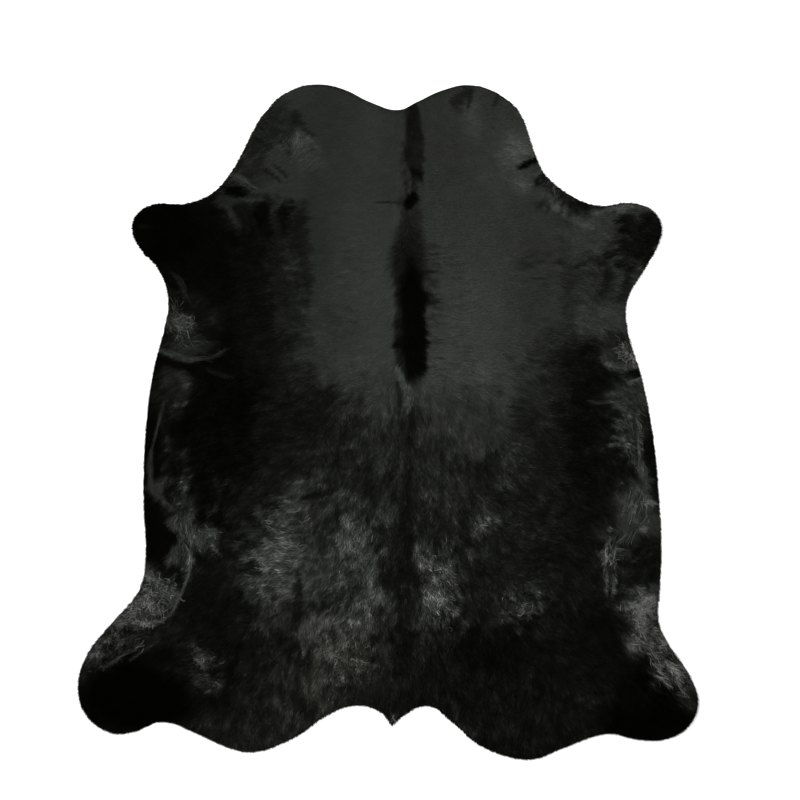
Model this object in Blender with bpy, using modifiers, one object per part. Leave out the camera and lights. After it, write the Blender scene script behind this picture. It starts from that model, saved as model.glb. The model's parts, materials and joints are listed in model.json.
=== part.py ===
"""A hair-on cowhide rug: one whole dyed hide, lying hair side up.

The hide is a single closed sheet. Its outline is a smooth curve through the places that a tanner would name,
its underside lies flat on the ground, and it lifts off the ground only along its folds and at its curled ends.
X runs across the hide, +Y runs along the spine to the neck, and the ground is at Z = 0.
"""

import math
from collections import namedtuple

import bmesh
import bpy
from mathutils import Vector
from mathutils.geometry import intersect_point_line

# Driving sizes, in metres.
SKIN = 0.0025  # the tanned leather
PILE = 0.0035  # the short hair, lying flat on it
EDGE_PILE = 0.0008  # what is left of the hair's depth where it laps the cut edge
EDGE_BAND = 0.014  # width of the band over which the hair thins towards the cut edge
COARSE_GRID = 0.066  # spacing of the cuts where the hide lies flat
FINE_GRID = 0.033  # spacing of the cuts across folds and curls
SNAP = 0.006  # a corner this near a cut moves onto it, so that no sliver is left
STEPS_PER_LANDMARK = 4
STEPS_PER_FOLD = 12

COLLECTION = "cowhide_rug"
HIDE = "hide"

# Each place on the cut edge, going round by the left, from the neck to the rump and back. A round place has a
# smooth handle and a pointed place has a straight one.
Landmark = namedtuple("Landmark", "place x y handle")
ROUND, POINT = "AUTO", "VECTOR"
OUTLINE = (
    Landmark("neck notch", 0.035, 1.018, ROUND),
    Landmark("neck lobe, inner side, left", -0.052, 1.041, ROUND),
    Landmark("neck lobe, left", -0.150, 1.087, ROUND),
    Landmark("neck lobe top, left", -0.235, 1.100, ROUND),
    Landmark("neck lobe corner, left", -0.325, 1.076, ROUND),
    Landmark("neck side, upper left", -0.400, 1.010, ROUND),
    Landmark("neck side, left", -0.447, 0.935, ROUND),
    Landmark("neck root, left", -0.500, 0.832, ROUND),
    Landmark("shoulder bay, left", -0.575, 0.745, ROUND),
    Landmark("foreleg root, left", -0.660, 0.712, ROUND),
    Landmark("foreleg top, left", -0.760, 0.710, ROUND),
    Landmark("foreleg end, upper left", -0.815, 0.680, ROUND),
    Landmark("foreleg end, left", -0.834, 0.630, ROUND),
    Landmark("foreleg end, lower left", -0.806, 0.560, ROUND),
    Landmark("foreleg underside, left", -0.752, 0.500, ROUND),
    Landmark("armpit, left", -0.717, 0.400, ROUND),
    Landmark("armpit, lower left", -0.731, 0.300, ROUND),
    Landmark("flank, upper left", -0.765, 0.165, ROUND),
    Landmark("flank, left", -0.789, -0.020, ROUND),
    Landmark("flank, lower left", -0.797, -0.255, ROUND),
    Landmark("flank foot, left", -0.791, -0.450, ROUND),
    Landmark("hock bay, left", -0.808, -0.540, ROUND),
    Landmark("hind leg outside, left", -0.905, -0.658, ROUND),
    Landmark("hind leg, left", -0.985, -0.765, ROUND),
    Landmark("hind leg end, left", -1.010, -0.872, ROUND),
    Landmark("hind leg end, lower left", -0.978, -0.962, ROUND),
    Landmark("hind leg foot, left", -0.900, -1.014, ROUND),
    Landmark("hind leg heel, left", -0.830, -1.012, ROUND),
    Landmark("thigh bay, left", -0.735, -0.979, ROUND),
    Landmark("thigh, left", -0.615, -1.020, ROUND),
    Landmark("rump lobe, outer left", -0.520, -1.062, ROUND),
    Landmark("rump lobe, left", -0.445, -1.077, ROUND),
    Landmark("rump lobe, inner left", -0.295, -1.024, ROUND),
    Landmark("tail bay side, left", -0.205, -0.962, ROUND),
    Landmark("tail bay, left", -0.110, -0.926, ROUND),
    Landmark("tail root, left", -0.026, -0.946, ROUND),
    Landmark("tail tip", 0.012, -0.992, POINT),
    Landmark("tail root, right", 0.044, -0.964, ROUND),
    Landmark("tail bay, right", 0.128, -0.927, ROUND),
    Landmark("tail bay side, right", 0.207, -0.978, ROUND),
    Landmark("rump lobe, inner right", 0.285, -1.046, ROUND),
    Landmark("rump lobe, right", 0.385, -1.090, ROUND),
    Landmark("rump lobe foot, right", 0.470, -1.100, ROUND),
    Landmark("rump lobe, outer right", 0.565, -1.066, ROUND),
    Landmark("thigh bay, right", 0.715, -1.018, ROUND),
    Landmark("hind leg heel, right", 0.820, -1.037, ROUND),
    Landmark("hind leg foot, right", 0.905, -1.035, ROUND),
    Landmark("hind leg end, lower right", 0.980, -0.990, ROUND),
    Landmark("hind leg end, right", 1.010, -0.905, ROUND),
    Landmark("hind leg, right", 0.975, -0.812, ROUND),
    Landmark("hind leg outside, right", 0.908, -0.714, ROUND),
    Landmark("hock bay, right", 0.880, -0.640, ROUND),
    Landmark("hock, right", 0.885, -0.560, ROUND),
    Landmark("flank foot, right", 0.891, -0.430, ROUND),
    Landmark("flank, lower right", 0.883, -0.245, ROUND),
    Landmark("flank, right", 0.862, -0.035, ROUND),
    Landmark("flank, upper right", 0.825, 0.150, ROUND),
    Landmark("armpit, lower right", 0.783, 0.290, ROUND),
    Landmark("armpit, right", 0.779, 0.390, ROUND),
    Landmark("foreleg underside, right", 0.839, 0.500, ROUND),
    Landmark("foreleg end, lower right", 0.882, 0.580, ROUND),
    Landmark("foreleg end, right", 0.891, 0.635, ROUND),
    Landmark("foreleg end, upper right", 0.862, 0.688, ROUND),
    Landmark("foreleg top, right", 0.795, 0.714, ROUND),
    Landmark("foreleg root, right", 0.680, 0.706, ROUND),
    Landmark("shoulder bay, right", 0.590, 0.742, ROUND),
    Landmark("neck root, right", 0.510, 0.808, ROUND),
    Landmark("neck side, right", 0.470, 0.900, ROUND),
    Landmark("neck side, upper right", 0.430, 1.005, ROUND),
    Landmark("neck lobe corner, right", 0.362, 1.068, ROUND),
    Landmark("neck lobe top, right", 0.265, 1.098, ROUND),
    Landmark("neck lobe, right", 0.175, 1.081, ROUND),
    Landmark("neck lobe, inner side, right", 0.090, 1.042, ROUND),
)

# A fold is a soft ridge along a line through three places, highest midway and lying down at both ends.
Fold = namedtuple("Fold", "place start bend end width height")
FOLDS = (
    Fold("flank fold, upper left", (-0.715, 0.180), (-0.760, -0.060), (-0.752, -0.230), 0.110, 0.011),
    Fold("flank fold, lower left", (-0.760, -0.180), (-0.690, -0.330), (-0.640, -0.470), 0.120, 0.012),
    Fold("stifle fold, left", (-0.640, -0.400), (-0.630, -0.600), (-0.715, -0.745), 0.110, 0.009),
    Fold("hock fold, left", (-0.700, -0.740), (-0.790, -0.760), (-0.880, -0.720), 0.100, 0.008),
    Fold("armpit fold, left", (-0.735, 0.255), (-0.650, 0.215), (-0.535, 0.225), 0.085, 0.013),
    Fold("foreleg fold, left", (-0.740, 0.600), (-0.660, 0.560), (-0.600, 0.470), 0.100, 0.008),
    Fold("neck fold, left", (-0.530, 0.790), (-0.470, 0.770), (-0.390, 0.800), 0.080, 0.009),
    Fold("shoulder fold, left", (-0.555, 0.720), (-0.500, 0.680), (-0.430, 0.690), 0.080, 0.008),
    Fold("neck fold, right", (0.500, 0.850), (0.440, 0.830), (0.400, 0.865), 0.075, 0.010),
    Fold("shoulder fold, right", (0.560, 0.730), (0.600, 0.640), (0.660, 0.560), 0.090, 0.009),
    Fold("armpit fold, right", (0.790, 0.250), (0.740, 0.190), (0.650, 0.135), 0.085, 0.012),
    Fold("flank fold, upper right", (0.800, 0.060), (0.815, -0.090), (0.830, -0.230), 0.100, 0.011),
    Fold("flank fold, lower right", (0.850, -0.270), (0.790, -0.360), (0.715, -0.430), 0.100, 0.010),
    Fold("stifle fold, right", (0.710, -0.420), (0.705, -0.530), (0.760, -0.640), 0.100, 0.008),
    Fold("hock fold, right", (0.840, -0.640), (0.900, -0.800), (0.930, -0.930), 0.110, 0.007),
    Fold("spine ridge, withers", (0.055, 0.960), (0.050, 0.600), (0.068, 0.150), 0.090, 0.004),
    Fold("spine ridge, loin", (0.068, 0.120), (0.060, -0.400), (0.035, -0.900), 0.090, 0.004),
)

# A curl is a round place where the hide's end stands a little off the ground.
Curl = namedtuple("Curl", "place x y radius height")
CURLS = (
    Curl("foreleg end, left", -0.840, 0.640, 0.120, 0.007),
    Curl("foreleg end, right", 0.900, 0.640, 0.120, 0.007),
    Curl("hind leg end, left", -1.020, -0.900, 0.150, 0.006),
    Curl("hind leg end, right", 1.020, -0.930, 0.150, 0.007),
    Curl("neck lobe, left", -0.250, 1.120, 0.130, 0.005),
    Curl("neck lobe, right", 0.280, 1.120, 0.120, 0.005),
    Curl("tail tip", 0.012, -1.010, 0.070, 0.004),
)


def fold_line(fold):
    """The fold's centre line as straight steps of the curve that its three places steer."""
    start, bend, end = Vector(fold.start), Vector(fold.bend), Vector(fold.end)
    for step in range(STEPS_PER_FOLD + 1):
        t = step / STEPS_PER_FOLD
        yield start.lerp(bend, t).lerp(bend.lerp(end, t), t)


FOLD_LINES = {fold.place: tuple(fold_line(fold)) for fold in FOLDS}


def soft_hump(distance, reach):
    """1 at no distance, 0 from the reach outwards, with level ends."""
    if distance >= reach:
        return 0.0
    return 0.5 + 0.5 * math.cos(math.pi * distance / reach)


def across_and_along(spot, line):
    """How far the spot lies from the line, and how far along the line its nearest place is, from 0 to 1."""
    nearest = (math.inf, 0.0)
    for step, (a, b) in enumerate(zip(line, line[1:])):
        foot, share = intersect_point_line(spot, a, b)
        share = min(max(share, 0.0), 1.0)
        distance = (spot - a.lerp(b, share)).length
        nearest = min(nearest, (distance, (step + share) / (len(line) - 1)))
    return nearest


def fold_lift(spot, fold):
    """How far one fold raises the hide at this spot."""
    distance, along = across_and_along(spot, FOLD_LINES[fold.place])
    return fold.height * math.sin(math.pi * along) ** 0.5 * soft_hump(distance, fold.width / 2)


def lift(spot):
    """How far the hide's underside stands off the ground at this spot."""
    folds = max(fold_lift(spot, fold) for fold in FOLDS)
    curls = max(
        curl.height * soft_hump((spot - Vector((curl.x, curl.y))).length, curl.radius) for curl in CURLS
    )
    return max(folds, curls)


def near_a_form(spot):
    """Whether a fold or a curl passes close enough to this spot to need the fine grid."""
    for fold in FOLDS:
        if across_and_along(spot, FOLD_LINES[fold.place])[0] < fold.width / 2:
            return True
    return any((spot - Vector((curl.x, curl.y))).length < curl.radius for curl in CURLS)


def outline_curve():
    """The cut edge as a flat closed curve through the landmarks."""
    curve = bpy.data.curves.new("cut_edge", "CURVE")
    curve.dimensions = "2D"
    curve.fill_mode = "NONE"
    curve.resolution_u = STEPS_PER_LANDMARK
    spline = curve.splines.new("BEZIER")
    spline.bezier_points.add(len(OUTLINE) - 1)
    for point, landmark in zip(spline.bezier_points, OUTLINE):
        point.co = (landmark.x, landmark.y, 0)
        point.handle_left_type = landmark.handle
        point.handle_right_type = landmark.handle
    spline.use_cyclic_u = True
    return curve


def flat_blank():
    """The hide as it is cut: one flat face inside the cut edge, with the middle of its box over the origin."""
    guide = bpy.data.objects.new("cut_edge", outline_curve())
    bpy.context.scene.collection.objects.link(guide)
    graph = bpy.context.evaluated_depsgraph_get()
    edge_mesh = bpy.data.meshes.new_from_object(guide.evaluated_get(graph))
    bpy.data.objects.remove(guide)
    blank = bmesh.new()
    blank.from_mesh(edge_mesh)
    bpy.data.meshes.remove(edge_mesh)
    bmesh.ops.remove_doubles(blank, verts=blank.verts, dist=0.0001)
    bmesh.ops.contextual_create(blank, geom=blank.edges)
    xs = [vert.co.x for vert in blank.verts]
    ys = [vert.co.y for vert in blank.verts]
    middle = Vector(((min(xs) + max(xs)) / 2, (min(ys) + max(ys)) / 2, 0))
    bmesh.ops.translate(blank, verts=blank.verts, vec=-middle)
    bmesh.ops.recalc_face_normals(blank, faces=blank.faces)
    if blank.faces[0].normal.z < 0:
        bmesh.ops.reverse_faces(blank, faces=blank.faces)
    return blank


def cut_across(blank, faces, axis, spacing, offset):
    """Cuts these faces by evenly spaced planes square to an axis, and gives the faces that they become."""
    reach = max(abs(vert.co[axis]) for vert in blank.verts)
    normal = Vector((0, 0, 0))
    normal[axis] = 1
    for step in range(-math.ceil(reach / spacing), math.ceil(reach / spacing) + 1):
        inside = [vert for face in faces for vert in face.verts]
        edges = [edge for face in faces for edge in face.edges]
        cut = bmesh.ops.bisect_plane(
            blank,
            geom=list(dict.fromkeys(inside + edges)) + faces,
            dist=SNAP,
            plane_co=normal * (step * spacing + offset),
            plane_no=normal,
            use_snap_center=True,
        )
        faces = [item for item in cut["geom"] if isinstance(item, bmesh.types.BMFace)]
    return faces


def sheet_mesh():
    """The hide's underside: the flat blank cut into a grid, finer at the forms, and lifted along them."""
    blank = flat_blank()
    bmesh.ops.inset_region(blank, faces=list(blank.faces), thickness=EDGE_BAND, use_boundary=True)
    middle = [face for face in blank.faces if not any(vert.is_boundary for vert in face.verts)]
    for axis in (0, 1):
        middle = cut_across(blank, middle, axis, COARSE_GRID, 0)
    raised = [face for face in middle if near_a_form(face.calc_center_median().xy)]
    for axis in (0, 1):
        raised = cut_across(blank, raised, axis, COARSE_GRID, FINE_GRID)
    bmesh.ops.triangulate(blank, faces=blank.faces, quad_method="BEAUTY", ngon_method="BEAUTY")
    for vert in blank.verts:
        vert.co.z = lift(vert.co.xy)
    edge_indices = [vert.index for vert in blank.verts if vert.is_boundary]
    mesh = bpy.data.meshes.new(HIDE)
    blank.to_mesh(mesh)
    blank.free()
    return mesh, edge_indices


def finish(name, colour, roughness):
    """A plain finish of one colour."""
    material = bpy.data.materials.new(name)
    material.use_nodes = True
    shader = material.node_tree.nodes["Principled BSDF"]
    shader.inputs["Base Color"].default_value = (*colour, 1)
    shader.inputs["Roughness"].default_value = roughness
    shader.inputs["Metallic"].default_value = 0
    return material


def build_hide(collection):
    """The hide: its underside thickened upwards by the skin and the lying hair, which thins at the cut edge."""
    mesh, edge_indices = sheet_mesh()
    hide = bpy.data.objects.new(HIDE, mesh)
    collection.objects.link(hide)
    mesh.materials.append(finish("flesh_side", (0.035, 0.031, 0.027), 0.9))
    mesh.materials.append(finish("hair_side", (0.013, 0.013, 0.012), 0.5))
    everywhere = range(len(mesh.vertices))
    hide.vertex_groups.new(name="full_pile").add(list(everywhere), 1.0, "REPLACE")
    hide.vertex_groups["full_pile"].add(edge_indices, 0.0, "REPLACE")
    thickness = hide.modifiers.new("skin_and_pile", "SOLIDIFY")
    thickness.thickness = SKIN + PILE
    thickness.offset = 1
    thickness.vertex_group = "full_pile"
    thickness.thickness_vertex_group = (SKIN + EDGE_PILE) / (SKIN + PILE)
    return hide


def main():
    for obj in list(bpy.data.objects):
        bpy.data.objects.remove(obj)
    collection = bpy.data.collections.new(COLLECTION)
    bpy.context.scene.collection.children.link(collection)
    build_hide(collection)


main()
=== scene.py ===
"""The looks of a black-dyed cowhide rug that lies hair side up on a plain pale floor.

The hide is a thin skin with a suede flesh side, and its coat is many thousands of short flat locks of hair.
Three things are laid out over the hide in tables of named places: the form (folds, curls and creases), the
lie of the hair, and the tone of the dyed coat, with painted sheen, painted highlights along the folds and
painted shade in the creases. Each is worked out once on a chart of even squares, and from it the skin and
every lock read their height, direction, length and shade.

X runs across the hide, +Y along the spine towards the neck, and the floor is at Z = 0.
"""

import json
import logging
import math
from collections.abc import Iterable, Mapping
from dataclasses import dataclass, field
from enum import Enum
from typing import Any, NamedTuple, TypeVar

import bmesh
import bpy
import numpy as np
from bpy.types import Material, Mesh, Node, NodeSocket, Object
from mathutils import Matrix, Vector

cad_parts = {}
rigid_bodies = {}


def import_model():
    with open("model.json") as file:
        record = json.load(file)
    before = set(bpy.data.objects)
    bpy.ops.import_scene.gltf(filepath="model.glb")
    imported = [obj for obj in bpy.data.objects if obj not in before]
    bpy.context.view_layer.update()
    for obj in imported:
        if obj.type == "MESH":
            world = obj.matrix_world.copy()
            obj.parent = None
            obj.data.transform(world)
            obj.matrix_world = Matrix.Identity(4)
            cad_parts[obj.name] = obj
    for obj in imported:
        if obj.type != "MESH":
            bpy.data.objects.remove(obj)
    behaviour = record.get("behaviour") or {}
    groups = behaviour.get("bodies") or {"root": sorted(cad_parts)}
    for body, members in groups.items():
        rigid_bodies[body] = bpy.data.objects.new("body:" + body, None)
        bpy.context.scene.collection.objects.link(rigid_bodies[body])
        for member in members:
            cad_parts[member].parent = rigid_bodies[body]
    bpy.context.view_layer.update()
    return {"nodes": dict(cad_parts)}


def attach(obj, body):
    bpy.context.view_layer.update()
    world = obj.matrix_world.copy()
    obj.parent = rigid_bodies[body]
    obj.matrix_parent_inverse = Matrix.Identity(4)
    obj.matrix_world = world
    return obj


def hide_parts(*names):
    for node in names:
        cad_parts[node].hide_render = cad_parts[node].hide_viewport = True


Array = np.ndarray
Draws = np.random.Generator
Spot = tuple[float, float]
Reach = tuple[float, float]
Colour = tuple[float, float, float, float]
Layers = tuple[tuple[float, float], ...]
LOG = logging.getLogger("cowhide_rug")


# ------------------------------------------------------------------ the tables


class Fold(NamedTuple):
    """A soft ridge along a line through three places, highest midway and lying down at both ends."""

    place: str
    start: Spot
    bend: Spot
    end: Spot
    width: float
    height: float


class Curl(NamedTuple):
    """A round place where the hide's end stands a little off the floor."""

    place: str
    x: float
    y: float
    radius: float
    height: float


class Comb(NamedTuple):
    """Which way the hair lies so far off the spine, in degrees from straight back towards outwards."""

    place: str
    off_spine: float
    y: float
    heading: float


class Whorl(NamedTuple):
    """A place where the lie of the hair turns round, in degrees to the left at its middle."""

    place: str
    x: float
    y: float
    radius: float
    turn: float


class DyeAndPaintedLight(Enum):
    """How a patch of the coat's tone is laid, whether a patch of dye or one of painted sheen, highlight or
    shade.

    Attributes:
        cover: How much of what is under it it hides, from 0 to 1.
        grain: How strongly its locks differ, from 0 to 1.
        ragged: How far its rim strays, in metres.
        edge: How softly its rim fades, from 0 to 1.
        power: How square its rim is, from 2 for an oval to 6 for nearly a rectangle.
    """

    PANEL = (1.0, 0.04, 0.01, 0.12, 6)
    BAND = (1.0, 0.3, 0.008, 0.2, 6)
    STRIPE = (1.0, 0.3, 0.0035, 0.2, 6)
    LOCKS = (0.9, 0.45, 0.02, 0.4, 6)
    SASH = (0.95, 0.22, 0.006, 0.38, 6)
    SHEEN = (0.8, 0.05, 0.01, 0.8, 2)
    BLACKED = (1.0, 0.3, 0.012, 0.3, 2)
    BLOT = (0.95, 0.35, 0.012, 0.45, 2)
    GLEAM = (0.95, 0.22, 0.012, 0.5, 2)
    STAIN = (0.9, 0.4, 0.015, 0.55, 2)
    SHADE = (0.85, 0.42, 0.025, 0.65, 2)
    VEIL = (0.85, 0.22, 0.025, 0.65, 2)
    HAZE = (0.7, 0.46, 0.028, 0.75, 2)
    GROUND = (0.92, 0.52, 0.03, 0.5, 2)
    RAGGED = (0.92, 0.5, 0.045, 0.5, 2)
    MOTTLE = (0.85, 0.6, 0.015, 0.6, 2)
    TUFTED = (0.95, 0.8, 0.02, 0.42, 2)
    FROSTED = (0.83, 0.78, 0.015, 0.65, 2)

    def __init__(self, *numbers: float) -> None:
        """Names the numbers of one kind of patch."""
        self.cover, self.grain, self.ragged, self.edge, self.power = numbers


class Cloud(NamedTuple):
    """A soft-edged patch of one tone, which is its brightness as a display shows it, from 0 to 1; its dye
    column gives how it is laid, and many patches are painted sheen, highlight or shade rather than dye.
    """

    place: str
    dye: DyeAndPaintedLight
    x: float
    y: float
    half_width: float
    half_height: float
    tone: float
    turn: float = 0.0


class Stroke(NamedTuple):
    """A line of one tone through three places, such as a painted highlight along a fold or painted shade in
    a crease.

    Attributes:
        hairs: How many longer hairs lie along it.
        cover: How much of what is under it it hides.
        edge: How softly its rim fades.
    """

    place: str
    start: Spot
    bend: Spot
    end: Spot
    width: float
    tone: float
    hairs: int = 0
    cover: float = 0.9
    edge: float = 0.5


class Marks(NamedTuple):
    """Short strokes scattered over an oval place, at an angle in degrees from +X, each lighter or darker."""

    place: str
    x: float
    y: float
    half_width: float
    half_height: float
    angle: float
    stray: float
    count: int
    length: float
    width: float
    lighter: float


class Tuft(NamedTuple):
    """Longer curled hairs over an oval place, headed in degrees from +X.

    They are so many times as light as the coat.
    """

    place: str
    x: float
    y: float
    half_width: float
    half_height: float
    turn: float
    heading: float
    stray: float
    curl: float
    length: float
    count: int
    lighter: float


class Ruffle(NamedTuple):
    """A place where the hair is longer, curls and stands up."""

    place: str
    x: float
    y: float
    half_width: float
    half_height: float
    turn: float
    strength: float


Row = TypeVar("Row", bound=tuple)
AS_GIVEN = ("place", "dye", "heading", "turn", "angle", "stray", "curl", "count", "hairs")


def read_table(kind: type[Row], *rows: tuple[Any, ...]) -> tuple[Row, ...]:
    """Reads a table with lengths in millimetres, tones and shares in thousandths, and turns in degrees.

    Args:
        kind: What a row is, which names its columns.
        rows: The rows.

    Returns:
        The rows, in metres and parts of 1.
    """
    made = []
    for row in rows:
        columns = dict(zip(kind._fields, row))
        for name, given in columns.items():
            if isinstance(given, tuple):
                columns[name] = tuple(side / 1000 for side in given)
            elif name not in AS_GIVEN:
                columns[name] = given / 1000
        made.append(kind(**columns))
    return tuple(made)


SPINE = ((0.055, 1.100), (0.058, 0.600), (0.068, 0.100), (0.058, -0.400), (0.030, -1.000))

FOLDS = read_table(
    Fold,
    ("flank fold, upper left", (-715, 180), (-760, -60), (-752, -230), 110, 11),
    ("flank fold, lower left", (-760, -180), (-690, -330), (-640, -470), 120, 12),
    ("stifle fold, left", (-640, -400), (-630, -600), (-715, -745), 110, 9),
    ("hock fold, left", (-700, -740), (-790, -760), (-880, -720), 100, 8),
    ("armpit fold, left", (-735, 255), (-650, 215), (-535, 225), 85, 13),
    ("foreleg fold, left", (-740, 600), (-660, 560), (-600, 470), 100, 8),
    ("neck fold, left", (-530, 790), (-470, 770), (-390, 800), 80, 9),
    ("shoulder fold, left", (-555, 720), (-500, 680), (-430, 690), 80, 8),
    ("neck fold, right", (500, 850), (440, 830), (400, 865), 75, 10),
    ("shoulder fold, right", (560, 730), (600, 640), (660, 560), 90, 9),
    ("armpit fold, right", (790, 250), (740, 190), (650, 135), 85, 12),
    ("flank fold, upper right", (800, 60), (815, -90), (830, -230), 100, 11),
    ("flank fold, lower right", (850, -270), (790, -360), (715, -430), 100, 10),
    ("stifle fold, right", (710, -420), (705, -530), (760, -640), 100, 8),
    ("hock fold, right", (840, -640), (900, -800), (930, -930), 110, 7),
    ("spine ridge, withers", (55, 960), (50, 600), (68, 150), 90, 4),
    ("spine ridge, loin", (68, 120), (60, -400), (35, -900), 90, 4),
)

CREASES = read_table(
    Fold,
    ("crease, neck left, upper", (-400, 820), (-360, 800), (-320, 770), 16, 1.6),
    ("crease, neck left, lower", (-375, 845), (-340, 820), (-300, 785), 14, 1.4),
    ("crease, armpit left", (-720, 205), (-640, 180), (-540, 225), 16, 2),
    ("crease, neck right", (415, 838), (450, 850), (490, 862), 16, 2.2),
    ("crease, armpit right, upper", (690, 165), (760, 130), (810, 165), 16, 2),
    ("crease, armpit right, lower", (650, 85), (720, 60), (790, 100), 16, 2),
)

CURLS = read_table(
    Curl,
    ("foreleg end, left", -840, 640, 120, 7),
    ("foreleg end, right", 900, 640, 120, 7),
    ("hind leg end, left", -1020, -900, 150, 6),
    ("hind leg end, right", 1020, -930, 150, 7),
    ("neck lobe, left", -250, 1120, 130, 5),
    ("neck lobe, right", 280, 1120, 120, 5),
    ("tail tip", 12, -1010, 70, 4),
)

COMBS = read_table(
    Comb,
    ("neck crest", 50, 1050, 40),
    ("neck top", 250, 1000, 78),
    ("neck side", 420, 900, 62),
    ("withers", 40, 700, 70),
    ("withers panel", 200, 600, 88),
    ("shoulder", 450, 550, 82),
    ("foreleg", 780, 620, 88),
    ("spine stripe", 20, 400, 40),
    ("upper panel", 250, 300, 88),
    ("upper rib", 500, 250, 82),
    ("armpit", 720, 300, 70),
    ("spine, mid back", 20, 50, 2),
    ("mid back", 120, -30, 8),
    ("mid back, outer", 240, -80, 12),
    ("mid rib", 380, -20, 80),
    ("under the silk", 140, 140, 82),
    ("lower rib", 550, 0, 86),
    ("flank edge", 800, -50, 30),
    ("loin, spine", 20, -400, 2),
    ("loin", 200, -380, 20),
    ("loin side", 420, -400, 88),
    ("stifle", 620, -450, 55),
    ("flank foot", 820, -450, 40),
    ("croup", 50, -750, 0),
    ("rump", 300, -750, 12),
    ("thigh", 550, -750, 50),
    ("hock", 800, -680, 52),
    ("hind leg", 950, -850, 55),
    ("rump lobe", 450, -1000, 4),
)

WHORLS = read_table(
    Whorl,
    ("armpit whorl, left", -680, 310, 90, 110),
    ("armpit whorl, right", 775, 235, 80, -110),
    ("flank whorl, left", -640, -400, 110, 70),
    ("flank whorl, right", 720, -440, 90, -70),
    ("hock whorl, left", -780, -600, 110, -60),
    ("hock whorl, right", 840, -640, 90, 60),
    ("neck whorl, left", -290, 915, 80, 60),
)

BASE_TONE = 0.065
BASE_GRAIN = 0.60

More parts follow.
